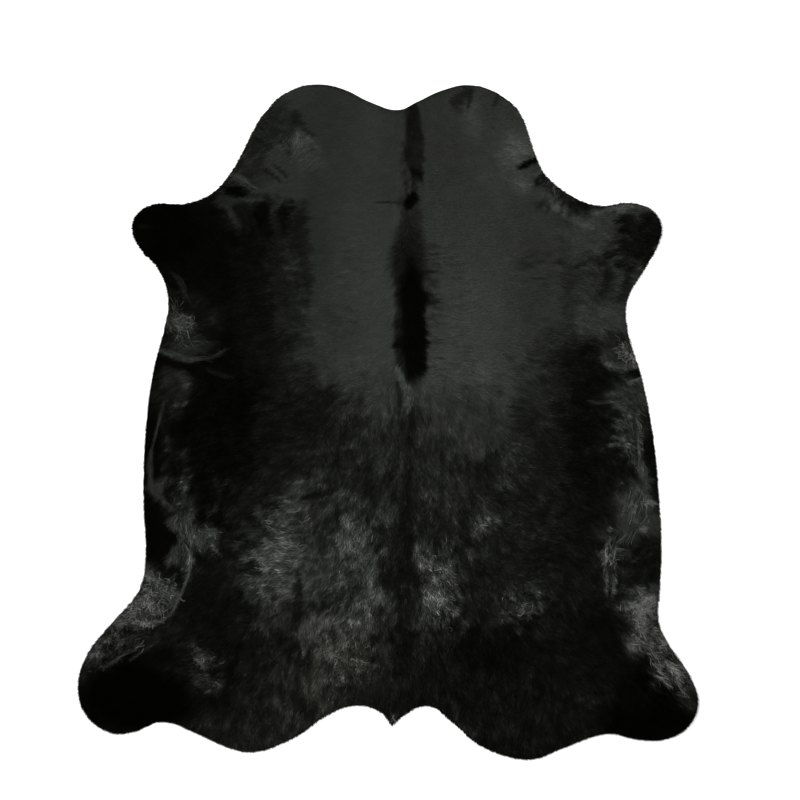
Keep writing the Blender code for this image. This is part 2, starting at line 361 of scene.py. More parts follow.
CLOUDS = read_table(
    Cloud,
    # The ground of the back.
    ("mid back", DyeAndPaintedLight.GROUND, 80, -60, 440, 240, 106),
    ("mid back, dark, left", DyeAndPaintedLight.SHADE, -300, 10, 120, 160, 70),
    ("loin ground, left", DyeAndPaintedLight.GROUND, -250, -420, 280, 260, 100),
    ("loin ground, right", DyeAndPaintedLight.GROUND, 280, -380, 320, 280, 90),
    ("rump ground, left", DyeAndPaintedLight.GROUND, -320, -950, 300, 200, 98),
    ("rump ground, right", DyeAndPaintedLight.GROUND, 420, -920, 420, 240, 57),
    # The smooth light panels: painted sheen where the hair lies smooth, besides the real gloss that their
    # silk gives.
    ("neck silk", DyeAndPaintedLight.PANEL, 100, 920, 550, 280, 175),
    ("withers silk, left", DyeAndPaintedLight.PANEL, -90, 420, 165, 300, 196),
    ("withers silk, right", DyeAndPaintedLight.PANEL, 329, 420, 239, 360, 174),
    ("withers glow, right", DyeAndPaintedLight.SHEEN, 330, 255, 180, 240, 222),
    ("silk tongue, left", DyeAndPaintedLight.VEIL, -30, 130, 85, 110, 222),
    ("neck dusk, right", DyeAndPaintedLight.SHEEN, 160, 920, 110, 230, 140),
    ("neck dusk, top right", DyeAndPaintedLight.SHEEN, 260, 1050, 200, 90, 148),
    ("neck sheen, left", DyeAndPaintedLight.SHEEN, -50, 840, 70, 200, 194),
    ("withers sheen, left", DyeAndPaintedLight.SHEEN, -20, 350, 60, 250, 220),
    ("neck dusk, left", DyeAndPaintedLight.SHEEN, -220, 980, 100, 100, 158),
    ("withers dusk, left", DyeAndPaintedLight.SHEEN, -230, 610, 60, 200, 150),
    ("withers dusk, right", DyeAndPaintedLight.SHEEN, 455, 490, 90, 240, 152),
    ("silk hem, right", DyeAndPaintedLight.VEIL, 210, 100, 190, 135, 218),
    ("crest band, lower", DyeAndPaintedLight.SASH, 68, 665, 30, 75, 106),
    ("silk fade, right", DyeAndPaintedLight.VEIL, 510, 162, 100, 120, 148),
    ("mid panel, right", DyeAndPaintedLight.VEIL, 270, -10, 160, 100, 150),
    ("shoulder silk, right", DyeAndPaintedLight.BAND, 705, 460, 130, 190, 148),
    ("shoulder top, right", DyeAndPaintedLight.GLEAM, 640, 630, 110, 70, 172),
    ("shoulder band, right", DyeAndPaintedLight.SASH, 680, 330, 110, 50, 182),
    ("shoulder blue band", DyeAndPaintedLight.SASH, 578, 430, 17, 170, 134),
    ("stripe, soft", DyeAndPaintedLight.STRIPE, 70, 380, 44, 235, 78),
    ("stripe, head", DyeAndPaintedLight.BLOT, 68, 520, 56, 85, 76),
    ("stripe, foot", DyeAndPaintedLight.STRIPE, 84, 290, 30, 138, 24),
    ("stripe, heart", DyeAndPaintedLight.BLACKED, 78, 335, 40, 190, 20),
    # The black left shoulder and ribs, and the half tone beside the silk.
    ("shoulder, black, left", DyeAndPaintedLight.BAND, -660, 430, 190, 300, 24),
    ("shoulder, olive, left", DyeAndPaintedLight.LOCKS, -440, 430, 60, 270, 44),
    ("half tone, left", DyeAndPaintedLight.BAND, -305, 420, 60, 270, 108),
    ("half tone shade, left", DyeAndPaintedLight.STAIN, -360, 530, 30, 95, 74),
    ("half tone shade, upper left", DyeAndPaintedLight.STAIN, -275, 625, 30, 80, 85),
    ("half tone, low, left", DyeAndPaintedLight.VEIL, -222, 255, 68, 130, 180),
    ("half tone hem, left", DyeAndPaintedLight.SHADE, -240, 125, 70, 48, 85),
    ("rib, brown, left", DyeAndPaintedLight.STAIN, -420, 200, 80, 110, 60),
    ("foreleg, black, left", DyeAndPaintedLight.BLACKED, -750, 630, 140, 110, 13),
    ("foreleg glint, left", DyeAndPaintedLight.SHEEN, -798, 632, 16, 8, 60, -35),
    ("rib, black, left", DyeAndPaintedLight.GROUND, -535, 0, 132, 220, 18),
    ("rib, dark, left", DyeAndPaintedLight.TUFTED, -600, -200, 120, 220, 30),
    ("flank edge, black, left", DyeAndPaintedLight.SASH, -775, -160, 40, 240, 18),
    # The neck, left.
    ("neck edge, left", DyeAndPaintedLight.BLOT, -430, 925, 190, 60, 115, 66),
    ("crown stain, left", DyeAndPaintedLight.STAIN, -335, 1000, 36, 46, 110),
    ("crown spot, left", DyeAndPaintedLight.GLEAM, -280, 985, 22, 32, 82, 15),
    ("neck smudge, inner", DyeAndPaintedLight.STAIN, -310, 915, 26, 55, 110),
    ("neck pale, left", DyeAndPaintedLight.BLOT, -262, 902, 34, 46, 222),
    ("neck pale spot, left", DyeAndPaintedLight.BLOT, -345, 925, 16, 26, 180),
    ("neck pale, low, left", DyeAndPaintedLight.GLEAM, -250, 850, 46, 42, 192),
    ("neck wedge, left", DyeAndPaintedLight.BLACKED, -500, 770, 44, 16, 12, -24),
    ("neck grey, left", DyeAndPaintedLight.BLOT, -522, 735, 40, 28, 125),
    ("shoulder dusk, left", DyeAndPaintedLight.BLOT, -440, 665, 90, 46, 76),
    ("shoulder finger, left", DyeAndPaintedLight.BLOT, -388, 665, 24, 64, 28),
    ("shoulder finger, inner", DyeAndPaintedLight.BLOT, -322, 680, 17, 46, 28),
    ("shoulder wedge, left", DyeAndPaintedLight.GLEAM, -352, 700, 13, 52, 125),
    # The neck, right.
    ("crown stain, right", DyeAndPaintedLight.GLEAM, 240, 1062, 34, 50, 88),
    # Painted sheen: the pale patches on the right of the neck.
    ("neck pale spot, right", DyeAndPaintedLight.SHEEN, 272, 1005, 26, 74, 212),
    ("neck pale, right", DyeAndPaintedLight.GLEAM, 408, 876, 62, 58, 248),
    ("neck pale, low, right", DyeAndPaintedLight.GLEAM, 425, 772, 48, 30, 232, -30),
    ("neck wedge, right", DyeAndPaintedLight.BLOT, 496, 790, 16, 34, 50, -28),
    ("neck glint, right", DyeAndPaintedLight.GLEAM, 486, 823, 20, 12, 245, 20),
    # The right foreleg and shoulder.
    ("foreleg crown, right", DyeAndPaintedLight.GLEAM, 790, 680, 90, 30, 270),
    ("foreleg, dark, right", DyeAndPaintedLight.GROUND, 850, 588, 55, 74, 46),
    ("foreleg blot, upper", DyeAndPaintedLight.GROUND, 765, 622, 35, 30, 46),
    ("foreleg blot, lower", DyeAndPaintedLight.GROUND, 800, 545, 62, 46, 56, 20),
    ("foreleg blot, inner", DyeAndPaintedLight.BLOT, 700, 490, 20, 28, 85),
    ("foreleg blot, hem", DyeAndPaintedLight.BLOT, 765, 455, 16, 40, 80),
    ("foreleg glint, right", DyeAndPaintedLight.GLEAM, 862, 562, 12, 10, 170),
    ("shoulder pale, right", DyeAndPaintedLight.SHEEN, 640, 615, 45, 40, 195),
    ("shoulder hem, right", DyeAndPaintedLight.BLACKED, 735, 225, 75, 38, 72),
    # The right ribs and flank.
    ("rib, dark, right", DyeAndPaintedLight.GROUND, 655, -75, 95, 300, 44, 3),
    ("rib, shade, right", DyeAndPaintedLight.HAZE, 550, 165, 75, 95, 70),
    ("mid dusk, right", DyeAndPaintedLight.VEIL, 435, 35, 40, 80, 78),
    ("rib, darker, right", DyeAndPaintedLight.BLOT, 660, 118, 48, 36, 40),
    ("rib, bluish, right", DyeAndPaintedLight.VEIL, 480, -100, 70, 90, 75),
    ("rib pale, right", DyeAndPaintedLight.MOTTLE, 405, -120, 50, 70, 128),
    ("mid shade, right", DyeAndPaintedLight.SHADE, 262, -125, 90, 32, 78),
    ("mid pale, low right", DyeAndPaintedLight.SHADE, 150, -190, 110, 90, 114),
    ("mid pale, left", DyeAndPaintedLight.SHADE, -58, -130, 32, 92, 148, -25),
    ("mid shade, left", DyeAndPaintedLight.STAIN, -130, -100, 34, 50, 76),
    ("ridge dusk", DyeAndPaintedLight.SHADE, 60, 15, 80, 45, 100),
    ("flank grey, upper right", DyeAndPaintedLight.BLOT, 790, 88, 80, 48, 160),
    ("flank grey, mid right", DyeAndPaintedLight.STAIN, 790, -10, 45, 40, 125),
    ("flank haze, right", DyeAndPaintedLight.STAIN, 803, -160, 22, 52, 190),
    ("flank grey, low right", DyeAndPaintedLight.GLEAM, 805, -270, 75, 90, 180),
    ("flank black, right", DyeAndPaintedLight.BLOT, 860, -150, 32, 130, 45, 2),
    ("armpit notch, right", DyeAndPaintedLight.BLOT, 800, 156, 34, 18, 35, -10),
    ("armpit grey, right", DyeAndPaintedLight.BLOT, 725, 215, 28, 36, 125),
    ("armpit shadow, right", DyeAndPaintedLight.STAIN, 758, 278, 36, 24, 85),
    ("armpit pale, right", DyeAndPaintedLight.MOTTLE, 786, 222, 26, 40, 205),
    # The left armpit and upper flank.
    ("armpit haze, left", DyeAndPaintedLight.STAIN, -590, 352, 80, 75, 64),
    ("armpit pale, left", DyeAndPaintedLight.MOTTLE, -694, 325, 58, 34, 205, -12),
    ("armpit tail, left", DyeAndPaintedLight.TUFTED, -688, 375, 20, 50, 110, 12),
    ("armpit grey, left", DyeAndPaintedLight.BLOT, -640, 250, 85, 34, 130, -4),
    ("armpit smudge, left", DyeAndPaintedLight.GLEAM, -572, 342, 10, 26, 135),
    ("flank grey, upper left", DyeAndPaintedLight.BLOT, -695, 130, 46, 65, 108),
    ("flank pale, upper left", DyeAndPaintedLight.STAIN, -665, 140, 22, 30, 150),
    ("flank spot, left", DyeAndPaintedLight.MOTTLE, -660, -100, 22, 20, 115),
    ("flank smear, left", DyeAndPaintedLight.MOTTLE, -660, -185, 13, 50, 120),
    ("flank grey, left", DyeAndPaintedLight.MOTTLE, -665, -270, 35, 40, 115),
    ("flank glow, left", DyeAndPaintedLight.GLEAM, -752, -210, 26, 36, 150),
    # The light patches left of the spine.
    ("loin shade, left", DyeAndPaintedLight.SHADE, -245, -158, 130, 70, 75),
    ("loin shade, upper left", DyeAndPaintedLight.BLOT, -294, -208, 34, 26, 76),
    ("loin pale, outer", DyeAndPaintedLight.RAGGED, -325, -420, 105, 190, 195, -16),
    ("loin glow, outer", DyeAndPaintedLight.SHADE, -348, -442, 62, 65, 280),
    ("loin gap, outer", DyeAndPaintedLight.GROUND, -445, -475, 38, 50, 85),
    ("loin glow, upper", DyeAndPaintedLight.HAZE, -352, -285, 45, 60, 240),
    ("loin fleck, by the spine", DyeAndPaintedLight.MOTTLE, -18, -284, 30, 36, 225),
    ("loin nick, outer", DyeAndPaintedLight.STAIN, -435, -300, 36, 40, 60),
    ("loin spray, outer", DyeAndPaintedLight.HAZE, -425, -555, 60, 55, 215),
    ("loin gap, left", DyeAndPaintedLight.GROUND, -182, -320, 36, 80, 105),
    ("loin pale, inner", DyeAndPaintedLight.RAGGED, -140, -435, 65, 135, 190, -8),
    ("loin glow, inner", DyeAndPaintedLight.SHADE, -102, -345, 40, 45, 275),
    ("loin crown, inner", DyeAndPaintedLight.MOTTLE, -165, -258, 82, 32, 180),
    ("loin nick, inner", DyeAndPaintedLight.STAIN, -150, -314, 30, 30, 66),
    ("loin grey, low left", DyeAndPaintedLight.SHADE, -215, -505, 65, 55, 215),
    ("loin grey, mid left", DyeAndPaintedLight.SHADE, -140, -618, 70, 30, 250),
    ("loin dusk, low left", DyeAndPaintedLight.HAZE, -180, -560, 70, 18, 130),
    ("loin streaks, inner", DyeAndPaintedLight.GROUND, -85, -475, 50, 130, 260),
    ("croup pale, left", DyeAndPaintedLight.RAGGED, -190, -715, 100, 70, 205, -20),
    ("croup glow, left", DyeAndPaintedLight.SHADE, -228, -675, 30, 50, 270),
    ("croup pale, inner", DyeAndPaintedLight.GROUND, -95, -680, 52, 90, 178),
    ("croup fleck, by the spine", DyeAndPaintedLight.MOTTLE, 0, -618, 26, 32, 175),
    ("croup pale, by the spine", DyeAndPaintedLight.MOTTLE, -45, -780, 46, 70, 145),
    ("croup pale, low", DyeAndPaintedLight.GROUND, -165, -825, 75, 62, 160),
    ("croup finger, low", DyeAndPaintedLight.STAIN, -238, -826, 22, 45, 200),
    ("croup, green shade", DyeAndPaintedLight.STAIN, -20, -880, 90, 50, 92),
    ("stifle, dark, left", DyeAndPaintedLight.STAIN, -560, -600, 100, 110, 46),
    ("thigh, dark, left", DyeAndPaintedLight.STAIN, -560, -840, 110, 110, 46),
    ("thigh curls, left", DyeAndPaintedLight.TUFTED, -580, -775, 48, 34, 130),
    ("thigh streaks, left", DyeAndPaintedLight.TUFTED, -588, -842, 62, 27, 105, -6),
    # The light patches right of the spine.
    ("loin pale, right", DyeAndPaintedLight.TUFTED, 166, -530, 46, 132, 185, -4),
    ("loin glow, right", DyeAndPaintedLight.MOTTLE, 166, -585, 45, 34, 280, 10),
    ("loin crown, right", DyeAndPaintedLight.MOTTLE, 114, -428, 26, 50, 310, 8),
    ("loin spot, right", DyeAndPaintedLight.MOTTLE, 200, -515, 34, 45, 175),
    ("loin nick, right", DyeAndPaintedLight.MOTTLE, 192, -655, 24, 30, 60),
    ("croup spot, right", DyeAndPaintedLight.MOTTLE, 250, -668, 26, 30, 195),
    ("croup mottle, right", DyeAndPaintedLight.FROSTED, 150, -740, 70, 46, 105),
    ("croup mottle, inner", DyeAndPaintedLight.MOTTLE, 106, -640, 30, 34, 175),
    ("croup nick, right", DyeAndPaintedLight.STAIN, 342, -640, 24, 42, 62),
    ("rib star, right", DyeAndPaintedLight.TUFTED, 310, -332, 46, 30, 190, -15),
    ("rib star tail, right", DyeAndPaintedLight.MOTTLE, 308, -275, 12, 25, 180),
    ("loin fleck, right", DyeAndPaintedLight.FROSTED, 270, -430, 14, 24, 195),
    ("rump mottle, right", DyeAndPaintedLight.FROSTED, 442, -595, 70, 66, 128),
    ("rump dusk, right", DyeAndPaintedLight.SHADE, 560, -440, 100, 70, 62),
    ("rump, dark, right", DyeAndPaintedLight.GROUND, 360, -730, 150, 70, 36),
    # The left hind leg.
    ("flank, black, left", DyeAndPaintedLight.BLACKED, -745, -378, 58, 104, 22),
    ("flank curls, left", DyeAndPaintedLight.LOCKS, -666, -382, 28, 78, 208),
    ("flank curls, inner", DyeAndPaintedLight.STAIN, -600, -375, 50, 36, 235),
    ("stifle, black, left", DyeAndPaintedLight.BLOT, -690, -500, 28, 38, 28),
    ("hock, pale, left", DyeAndPaintedLight.TUFTED, -788, -585, 85, 110, 172, -30),
    ("hock, glow, left", DyeAndPaintedLight.FROSTED, -745, -528, 32, 36, 280),
    ("hock, glow, low left", DyeAndPaintedLight.FROSTED, -838, -632, 55, 36, 240),
    ("hock, foot, left", DyeAndPaintedLight.TUFTED, -840, -694, 90, 34, 90, 10),
    ("hock, grey, left", DyeAndPaintedLight.TUFTED, -915, -725, 105, 52, 68, 38),
    ("hock, olive, left", DyeAndPaintedLight.FROSTED, -960, -800, 50, 34, 135, 30),
    ("hock, shadow, left", DyeAndPaintedLight.STAIN, -735, -752, 45, 30, 30, 20),
    ("hind leg, black, left", DyeAndPaintedLight.BLACKED, -820, -900, 185, 120, 11, -6),
    # The right hind leg.
    ("flank wedge, right", DyeAndPaintedLight.GLEAM, 815, -335, 85, 48, 165, 20),
    ("flank, black, right", DyeAndPaintedLight.BLOT, 840, -445, 60, 68, 46),
    ("stifle haze, right", DyeAndPaintedLight.FROSTED, 730, -458, 44, 40, 165),
    ("stifle grey, upper right", DyeAndPaintedLight.MOTTLE, 698, -345, 32, 30, 130),
    ("hock, pale, right", DyeAndPaintedLight.TUFTED, 802, -628, 64, 92, 270),
    ("hock, glow, right", DyeAndPaintedLight.MOTTLE, 808, -672, 27, 80, 365),
    ("hind leg, pale, right", DyeAndPaintedLight.MOTTLE, 910, -780, 118, 58, 225, -53),
    ("stifle, dark, right", DyeAndPaintedLight.STAIN, 695, -700, 90, 110, 40),
    ("hock, haze, right", DyeAndPaintedLight.STAIN, 872, -540, 24, 32, 175),
    ("hind leg, black, right", DyeAndPaintedLight.BLACKED, 845, -970, 155, 85, 15, -4),
    ("hind leg, dusk, right", DyeAndPaintedLight.BLOT, 798, -850, 66, 80, 26, 20),
)

STROKES = read_table(
    Stroke,
    # Painted light: the strokes named light are painted highlights, most along the folds, and those named
    # shade are painted shade.
    ("crest line", (78, 1045), (86, 920), (83, 790), 50, 76, 0, 950, 350),
    ("crest line, top", (70, 1040), (78, 1010), (80, 960), 45, 60, 0, 800, 500),
    ("crest link", (80, 800), (80, 770), (78, 735), 18, 95),
    ("crest tuft", (76, 750), (72, 725), (58, 696), 36, 14, 0, 1000, 350),
    ("crest whisker, left", (50, 718), (10, 716), (-35, 717), 8, 105, 0, 800, 500),
    ("spine stripe, barb", (50, 270), (34, 255), (22, 248), 22, 30, 0, 950, 400),
    ("stripe light, left", (32, 188), (44, 150), (62, 105), 20, 270),
    ("ridge light", (70, 122), (72, 80), (66, 35), 30, 225),
    ("ridge shade, left", (32, 140), (40, 100), (46, 40), 16, 95),
    ("ridge shade, right", (82, 60), (74, -40), (74, -110), 22, 78),
    ("spine line, loin", (66, -110), (56, -400), (46, -700), 50, 68),
    ("spine line, croup", (46, -640), (40, -800), (34, -950), 60, 66, 0, 850, 600),
    ("crown streak, right", (264, 1095), (262, 1060), (252, 1015), 14, 68),
    ("crown fleck, right", (352, 1072), (345, 1055), (332, 1028), 12, 85),
    ("neck shade, right", (412, 824), (446, 846), (492, 864), 18, 18, 0, 1000, 350),
    ("neck fringe shade", (492, 812), (564, 732), (665, 700), 54, 70, 0, 950, 600),
    ("neck fringe light", (515, 712), (600, 666), (662, 632), 32, 240),
    # Painted shade along the right shoulder fold and its branch.
    ("shoulder fold, dark, right", (660, 545), (635, 512), (595, 500), 10, 82),
    ("shoulder branch, right", (668, 540), (680, 520), (682, 490), 10, 85),
    ("neck stain, left", (-430, 932), (-410, 915), (-388, 893), 16, 75),
    ("neck nick, left", (-275, 962), (-255, 950), (-230, 932), 8, 70),
    # Painted shade in the creases of the left neck.
    ("neck crease, upper", (-370, 846), (-345, 825), (-318, 796), 9, 60),
    ("neck crease, lower", (-405, 832), (-370, 812), (-335, 782), 13, 78),
    ("neck light, left", (-508, 812), (-468, 795), (-430, 752), 19, 230, 16),
    ("neck light, inner", (-440, 765), (-400, 752), (-330, 758), 20, 170),
    ("shoulder hem, left", (-525, 722), (-470, 728), (-390, 724), 22, 135),
    ("shoulder light, left", (-525, 712), (-500, 680), (-478, 630), 19, 140, 16),
    ("elbow light, left", (-700, 488), (-660, 460), (-652, 400), 13, 125, 20),
    ("armpit light, left", (-748, 242), (-670, 205), (-590, 204), 20, 200, 60),
    ("armpit crease light", (-600, 203), (-570, 206), (-535, 230), 8, 150, 24),
    ("armpit shade, left", (-740, 205), (-660, 172), (-570, 180), 24, 26, 0, 950, 400),
    ("armpit trail, left", (-590, 178), (-550, 155), (-495, 148), 14, 75, 0, 800, 600),
    ("flank light, top left", (-722, 80), (-742, 10), (-766, -90), 9, 150, 30),
    ("flank light, mid left", (-764, -80), (-782, -140), (-760, -232), 18, 165, 24),
    ("flank light, low left", (-762, -222), (-725, -250), (-676, -304), 14, 165, 24),
    ("flank shelf, left", (-695, 60), (-670, 56), (-645, 70), 12, 170),
    ("stifle light, upper left", (-648, -330), (-640, -420), (-644, -490), 12, 250, 80),
    ("stifle light, left", (-642, -480), (-668, -560), (-700, -615), 9, 220, 80, 1000, 400),
    ("stifle light, low left", (-694, -604), (-722, -656), (-788, -655), 9, 240, 80, 1000, 400),
    ("hock light, left", (-762, -657), (-805, -650), (-872, -640), 12, 290, 30),
    ("hock rim light, left", (-865, -655), (-930, -700), (-985, -780), 30, 150, 0, 850, 600),
    ("hock streak, outer left", (-925, -800), (-895, -785), (-858, -756), 11, 170, 24),
    ("hock streak, left", (-835, -775), (-805, -755), (-768, -724), 12, 170, 24),
    ("hind leg streak, right", (872, -690), (912, -748), (925, -830), 40, 225, 0, 750, 700),
    ("flank tress, left", (-582, -380), (-565, -400), (-540, -432), 11, 200),
    ("armpit light, right", (698, 192), (755, 174), (812, 196), 30, 250, 40),
    ("armpit arc, right", (685, 200), (712, 160), (775, 166), 7, 150),
    ("flank streak, upper right", (768, 130), (800, 134), (832, 150), 12, 255, 30),
    ("flank streak, inner right", (648, 72), (690, 56), (740, 82), 10, 150, 30),
    ("flank tress, right", (775, 38), (788, 10), (800, -18), 10, 150),
    ("flank shelf, right", (705, -72), (730, -66), (790, -72), 12, 170, 8),
    ("flank shelf, soft, right", (722, -48), (755, -46), (795, -62), 16, 175, 0, 850, 600),
    ("flank light, right", (806, 45), (812, -80), (836, -244), 15, 240, 44, 1000, 400),
    ("flank glint, right", (820, -262), (845, -258), (872, -262), 16, 330, 16, 900, 600),
    ("wedge light, right", (850, -300), (800, -338), (738, -392), 18, 165),
    ("stifle light, right", (716, -372), (704, -440), (706, -560), 12, 300, 30),
    ("stifle light, outer right", (740, -390), (732, -450), (730, -560), 12, 290, 30),
    ("stifle star, right", (709, -345), (716, -344), (723, -346), 17, 330),
    ("loin shelf, left", (-310, -428), (-250, -434), (-170, -428), 11, 250),
    ("loin seam, left", (-286, -480), (-284, -580), (-290, -680), 30, 70, 0, 800, 500),
    ("loin band, left", (-285, -248), (-220, -232), (-150, -212), 22, 68),
    ("loin tress, inner", (-118, -530), (-60, -475), (-4, -402), 28, 250),
    ("croup tress, upper", (-285, -665), (-282, -720), (-268, -762), 12, 260),
    ("croup tress, outer", (-245, -695), (-205, -730), (-160, -785), 16, 245),
    ("croup tress, inner", (-105, -762), (-70, -778), (-22, -790), 9, 270),
    ("croup tress, second", (-160, -755), (-120, -775), (-98, -800), 12, 235),
    ("mid fleck, left", (-145, 48), (-125, 50), (-108, 36), 24, 175, 0, 850, 600),
    ("mid fleck, right", (255, -10), (258, -30), (252, -50), 24, 185, 0, 850, 600),
    ("mid tress, right", (300, -40), (302, -70), (300, -120), 20, 168, 0, 800, 600),
    ("rump edge light, right", (235, -975), (260, -998), (285, -1012), 22, 115, 0, 800, 600),
    ("tail root light", (10, -975), (20, -955), (34, -935), 16, 130, 0, 800, 600),
)

MARKS = read_table(
    Marks,
    ("silk dashes, right", 190, 360, 70, 200, 0, 4, 40, 45, 6, -200),
    ("silk glints, right", 200, 400, 80, 200, 0, 4, 26, 35, 6, 110),
    ("silk glints, left", -118, 470, 30, 150, 0, 4, 26, 36, 5, 120),
    ("silk dashes, left", -118, 450, 34, 160, 0, 4, 26, 36, 5, -120),
    ("stripe barbs, right", 145, 430, 24, 190, 0, 6, 50, 40, 5, -360),
    ("shoulder dashes, right", 490, 500, 80, 60, 0, 6, 30, 45, 7, -240),
    ("shoulder glints, right", 440, 500, 90, 70, 0, 8, 14, 35, 7, 120),
    ("neck dashes", 0, 850, 160, 140, 0, 8, 14, 45, 7, 50),
    ("neck fringe hairs", 566, 734, 76, 24, 66, 12, 44, 30, 6, 400),
    ("neck fringe teeth", 560, 706, 90, 36, 66, 12, 40, 32, 6, -500),
    ("crest barbs", 80, 870, 34, 140, 80, 22, 40, 30, 7, -300),
    ("crest splay", 82, 805, 26, 24, 90, 30, 14, 34, 6, -400),
    ("half tone glints", -310, 500, 40, 50, 5, 12, 14, 30, 9, 300),
    ("half tone dashes", -300, 400, 50, 200, 90, 20, 26, 40, 12, -180),
    ("mid back dashes", 60, -80, 220, 140, 88, 12, 150, 26, 6, 240),
    ("mid back shades", 60, -100, 240, 160, 88, 12, 120, 30, 7, -200),
    ("mid back shelves, left", -200, -110, 110, 110, 2, 6, 34, 90, 10, 220),
    ("silk hem fringe, left", -90, 110, 160, 60, 92, 18, 50, 40, 8, -120),
    ("silk hem fringe, right", 240, 70, 200, 60, 92, 18, 60, 40, 8, -100),
    ("loin dashes, outer", -380, -430, 130, 200, 2, 18, 170, 28, 7, 260),
    ("loin shades, outer", -380, -450, 130, 200, 2, 18, 150, 28, 7, -340),
    ("loin curls, inner", -110, -500, 110, 240, 72, 26, 170, 30, 7, 200),
    ("loin shades, inner", -110, -480, 110, 240, 72, 26, 150, 30, 8, -250),
    ("croup tresses", -150, -740, 130, 110, 60, 50, 120, 32, 8, 240),
    ("croup shades", -140, -760, 130, 110, 60, 50, 90, 30, 9, -300),
    ("loin tresses, right", 165, -530, 80, 150, 105, 26, 110, 32, 7, 300),
    ("loin shades, right", 165, -530, 80, 160, 105, 26, 100, 30, 8, -370),
    ("loin flecks, right", 340, -420, 180, 160, 92, 30, 90, 24, 8, 400),
    ("loin grit, right", 210, -280, 160, 120, 95, 40, 130, 18, 6, 350),
    ("rump flecks, right", 440, -590, 80, 70, 90, 40, 60, 20, 8, 350),
    ("rump grit, right", 405, -640, 50, 60, 90, 50, 50, 18, 7, 450),
    ("rump shades, right", 440, -590, 80, 70, 90, 40, 50, 20, 8, -450),
    ("rump smears, left", -400, -900, 200, 130, 88, 12, 60, 50, 14, 220),
    ("rump shades, left", -380, -860, 220, 150, 88, 12, 60, 45, 14, -240),
    ("rump smears, right", 400, -930, 260, 130, 88, 12, 46, 50, 14, 260),
    ("rib flecks, left", -540, -250, 60, 80, 90, 14, 26, 40, 12, 450),
    ("flank whiskers, left", -700, -160, 50, 120, 60, 35, 50, 40, 7, 400),
    ("flank whiskers, right", 745, -60, 60, 140, 20, 40, 60, 40, 7, 400),
    ("flank combed, right", 800, -290, 60, 80, 70, 25, 60, 40, 8, 240),
    ("flank scratches, right", 840, -430, 45, 60, 30, 12, 20, 45, 6, 500),
    ("stifle whiskers, right", 715, -430, 50, 26, 10, 28, 30, 44, 4.5, 400),
    ("stifle whiskers, left", -640, -470, 30, 40, 120, 25, 26, 34, 7, 350),
    ("hind leg combed, right", 915, -785, 90, 105, 148, 20, 150, 40, 5, 560),
    ("hind leg shades, right", 895, -806, 90, 105, 148, 20, 130, 36, 6, -720),
    ("hock combed, left", -905, -735, 100, 60, 40, 25, 80, 32, 8, 450),
    ("hock shades, left", -880, -730, 110, 60, 40, 20, 60, 36, 9, -450),
    ("thigh whiskers, left", -600, -850, 60, 30, 175, 12, 34, 40, 5, 300),
    ("thigh whiskers, right", 672, -896, 50, 16, 10, 10, 16, 40, 6, 300),
    # Painted shade in the small creases along the left neck edge.
    ("neck edge creases", -400, 900, 80, 110, 132, 18, 30, 50, 8, -240),
    ("shoulder fingers, left", -400, 640, 100, 50, 92, 12, 22, 50, 12, -300),
    ("foreleg shades, right", 740, 500, 100, 120, 80, 30, 30, 40, 14, -220),
)

RUFFLES = read_table(
    Ruffle,
    ("armpit, left", -665, 315, 60, 50, 0, 1000),
    ("armpit tail, left", -688, 375, 24, 60, 12, 800),
    ("armpit, right", 775, 232, 40, 55, 0, 1000),
    ("hock, left", -780, -575, 90, 120, -30, 900),
    ("hind leg, left", -900, -720, 120, 60, 38, 600),
    ("hock, right", 830, -620, 65, 100, 0, 900),
    ("hind leg, right", 925, -800, 140, 55, -50, 600),
    ("flank, left", -640, -375, 70, 100, 0, 250),
    ("flank, right", 790, -50, 60, 200, 0, 350),
    ("stifle, right", 715, -440, 50, 80, 0, 500),
    ("thigh, left", -592, -815, 55, 50, 0, 600),
    ("loin, right", 165, -530, 75, 150, 0, 500),
    ("loin, inner left", -110, -480, 100, 240, 0, 300),
    ("loin, outer left", -370, -430, 110, 190, 0, 300),
    ("croup, left", -160, -750, 120, 110, 0, 450),
    ("rump, right", 440, -595, 60, 60, 0, 450),
    ("neck, left", -330, 900, 90, 90, 0, 200),
)

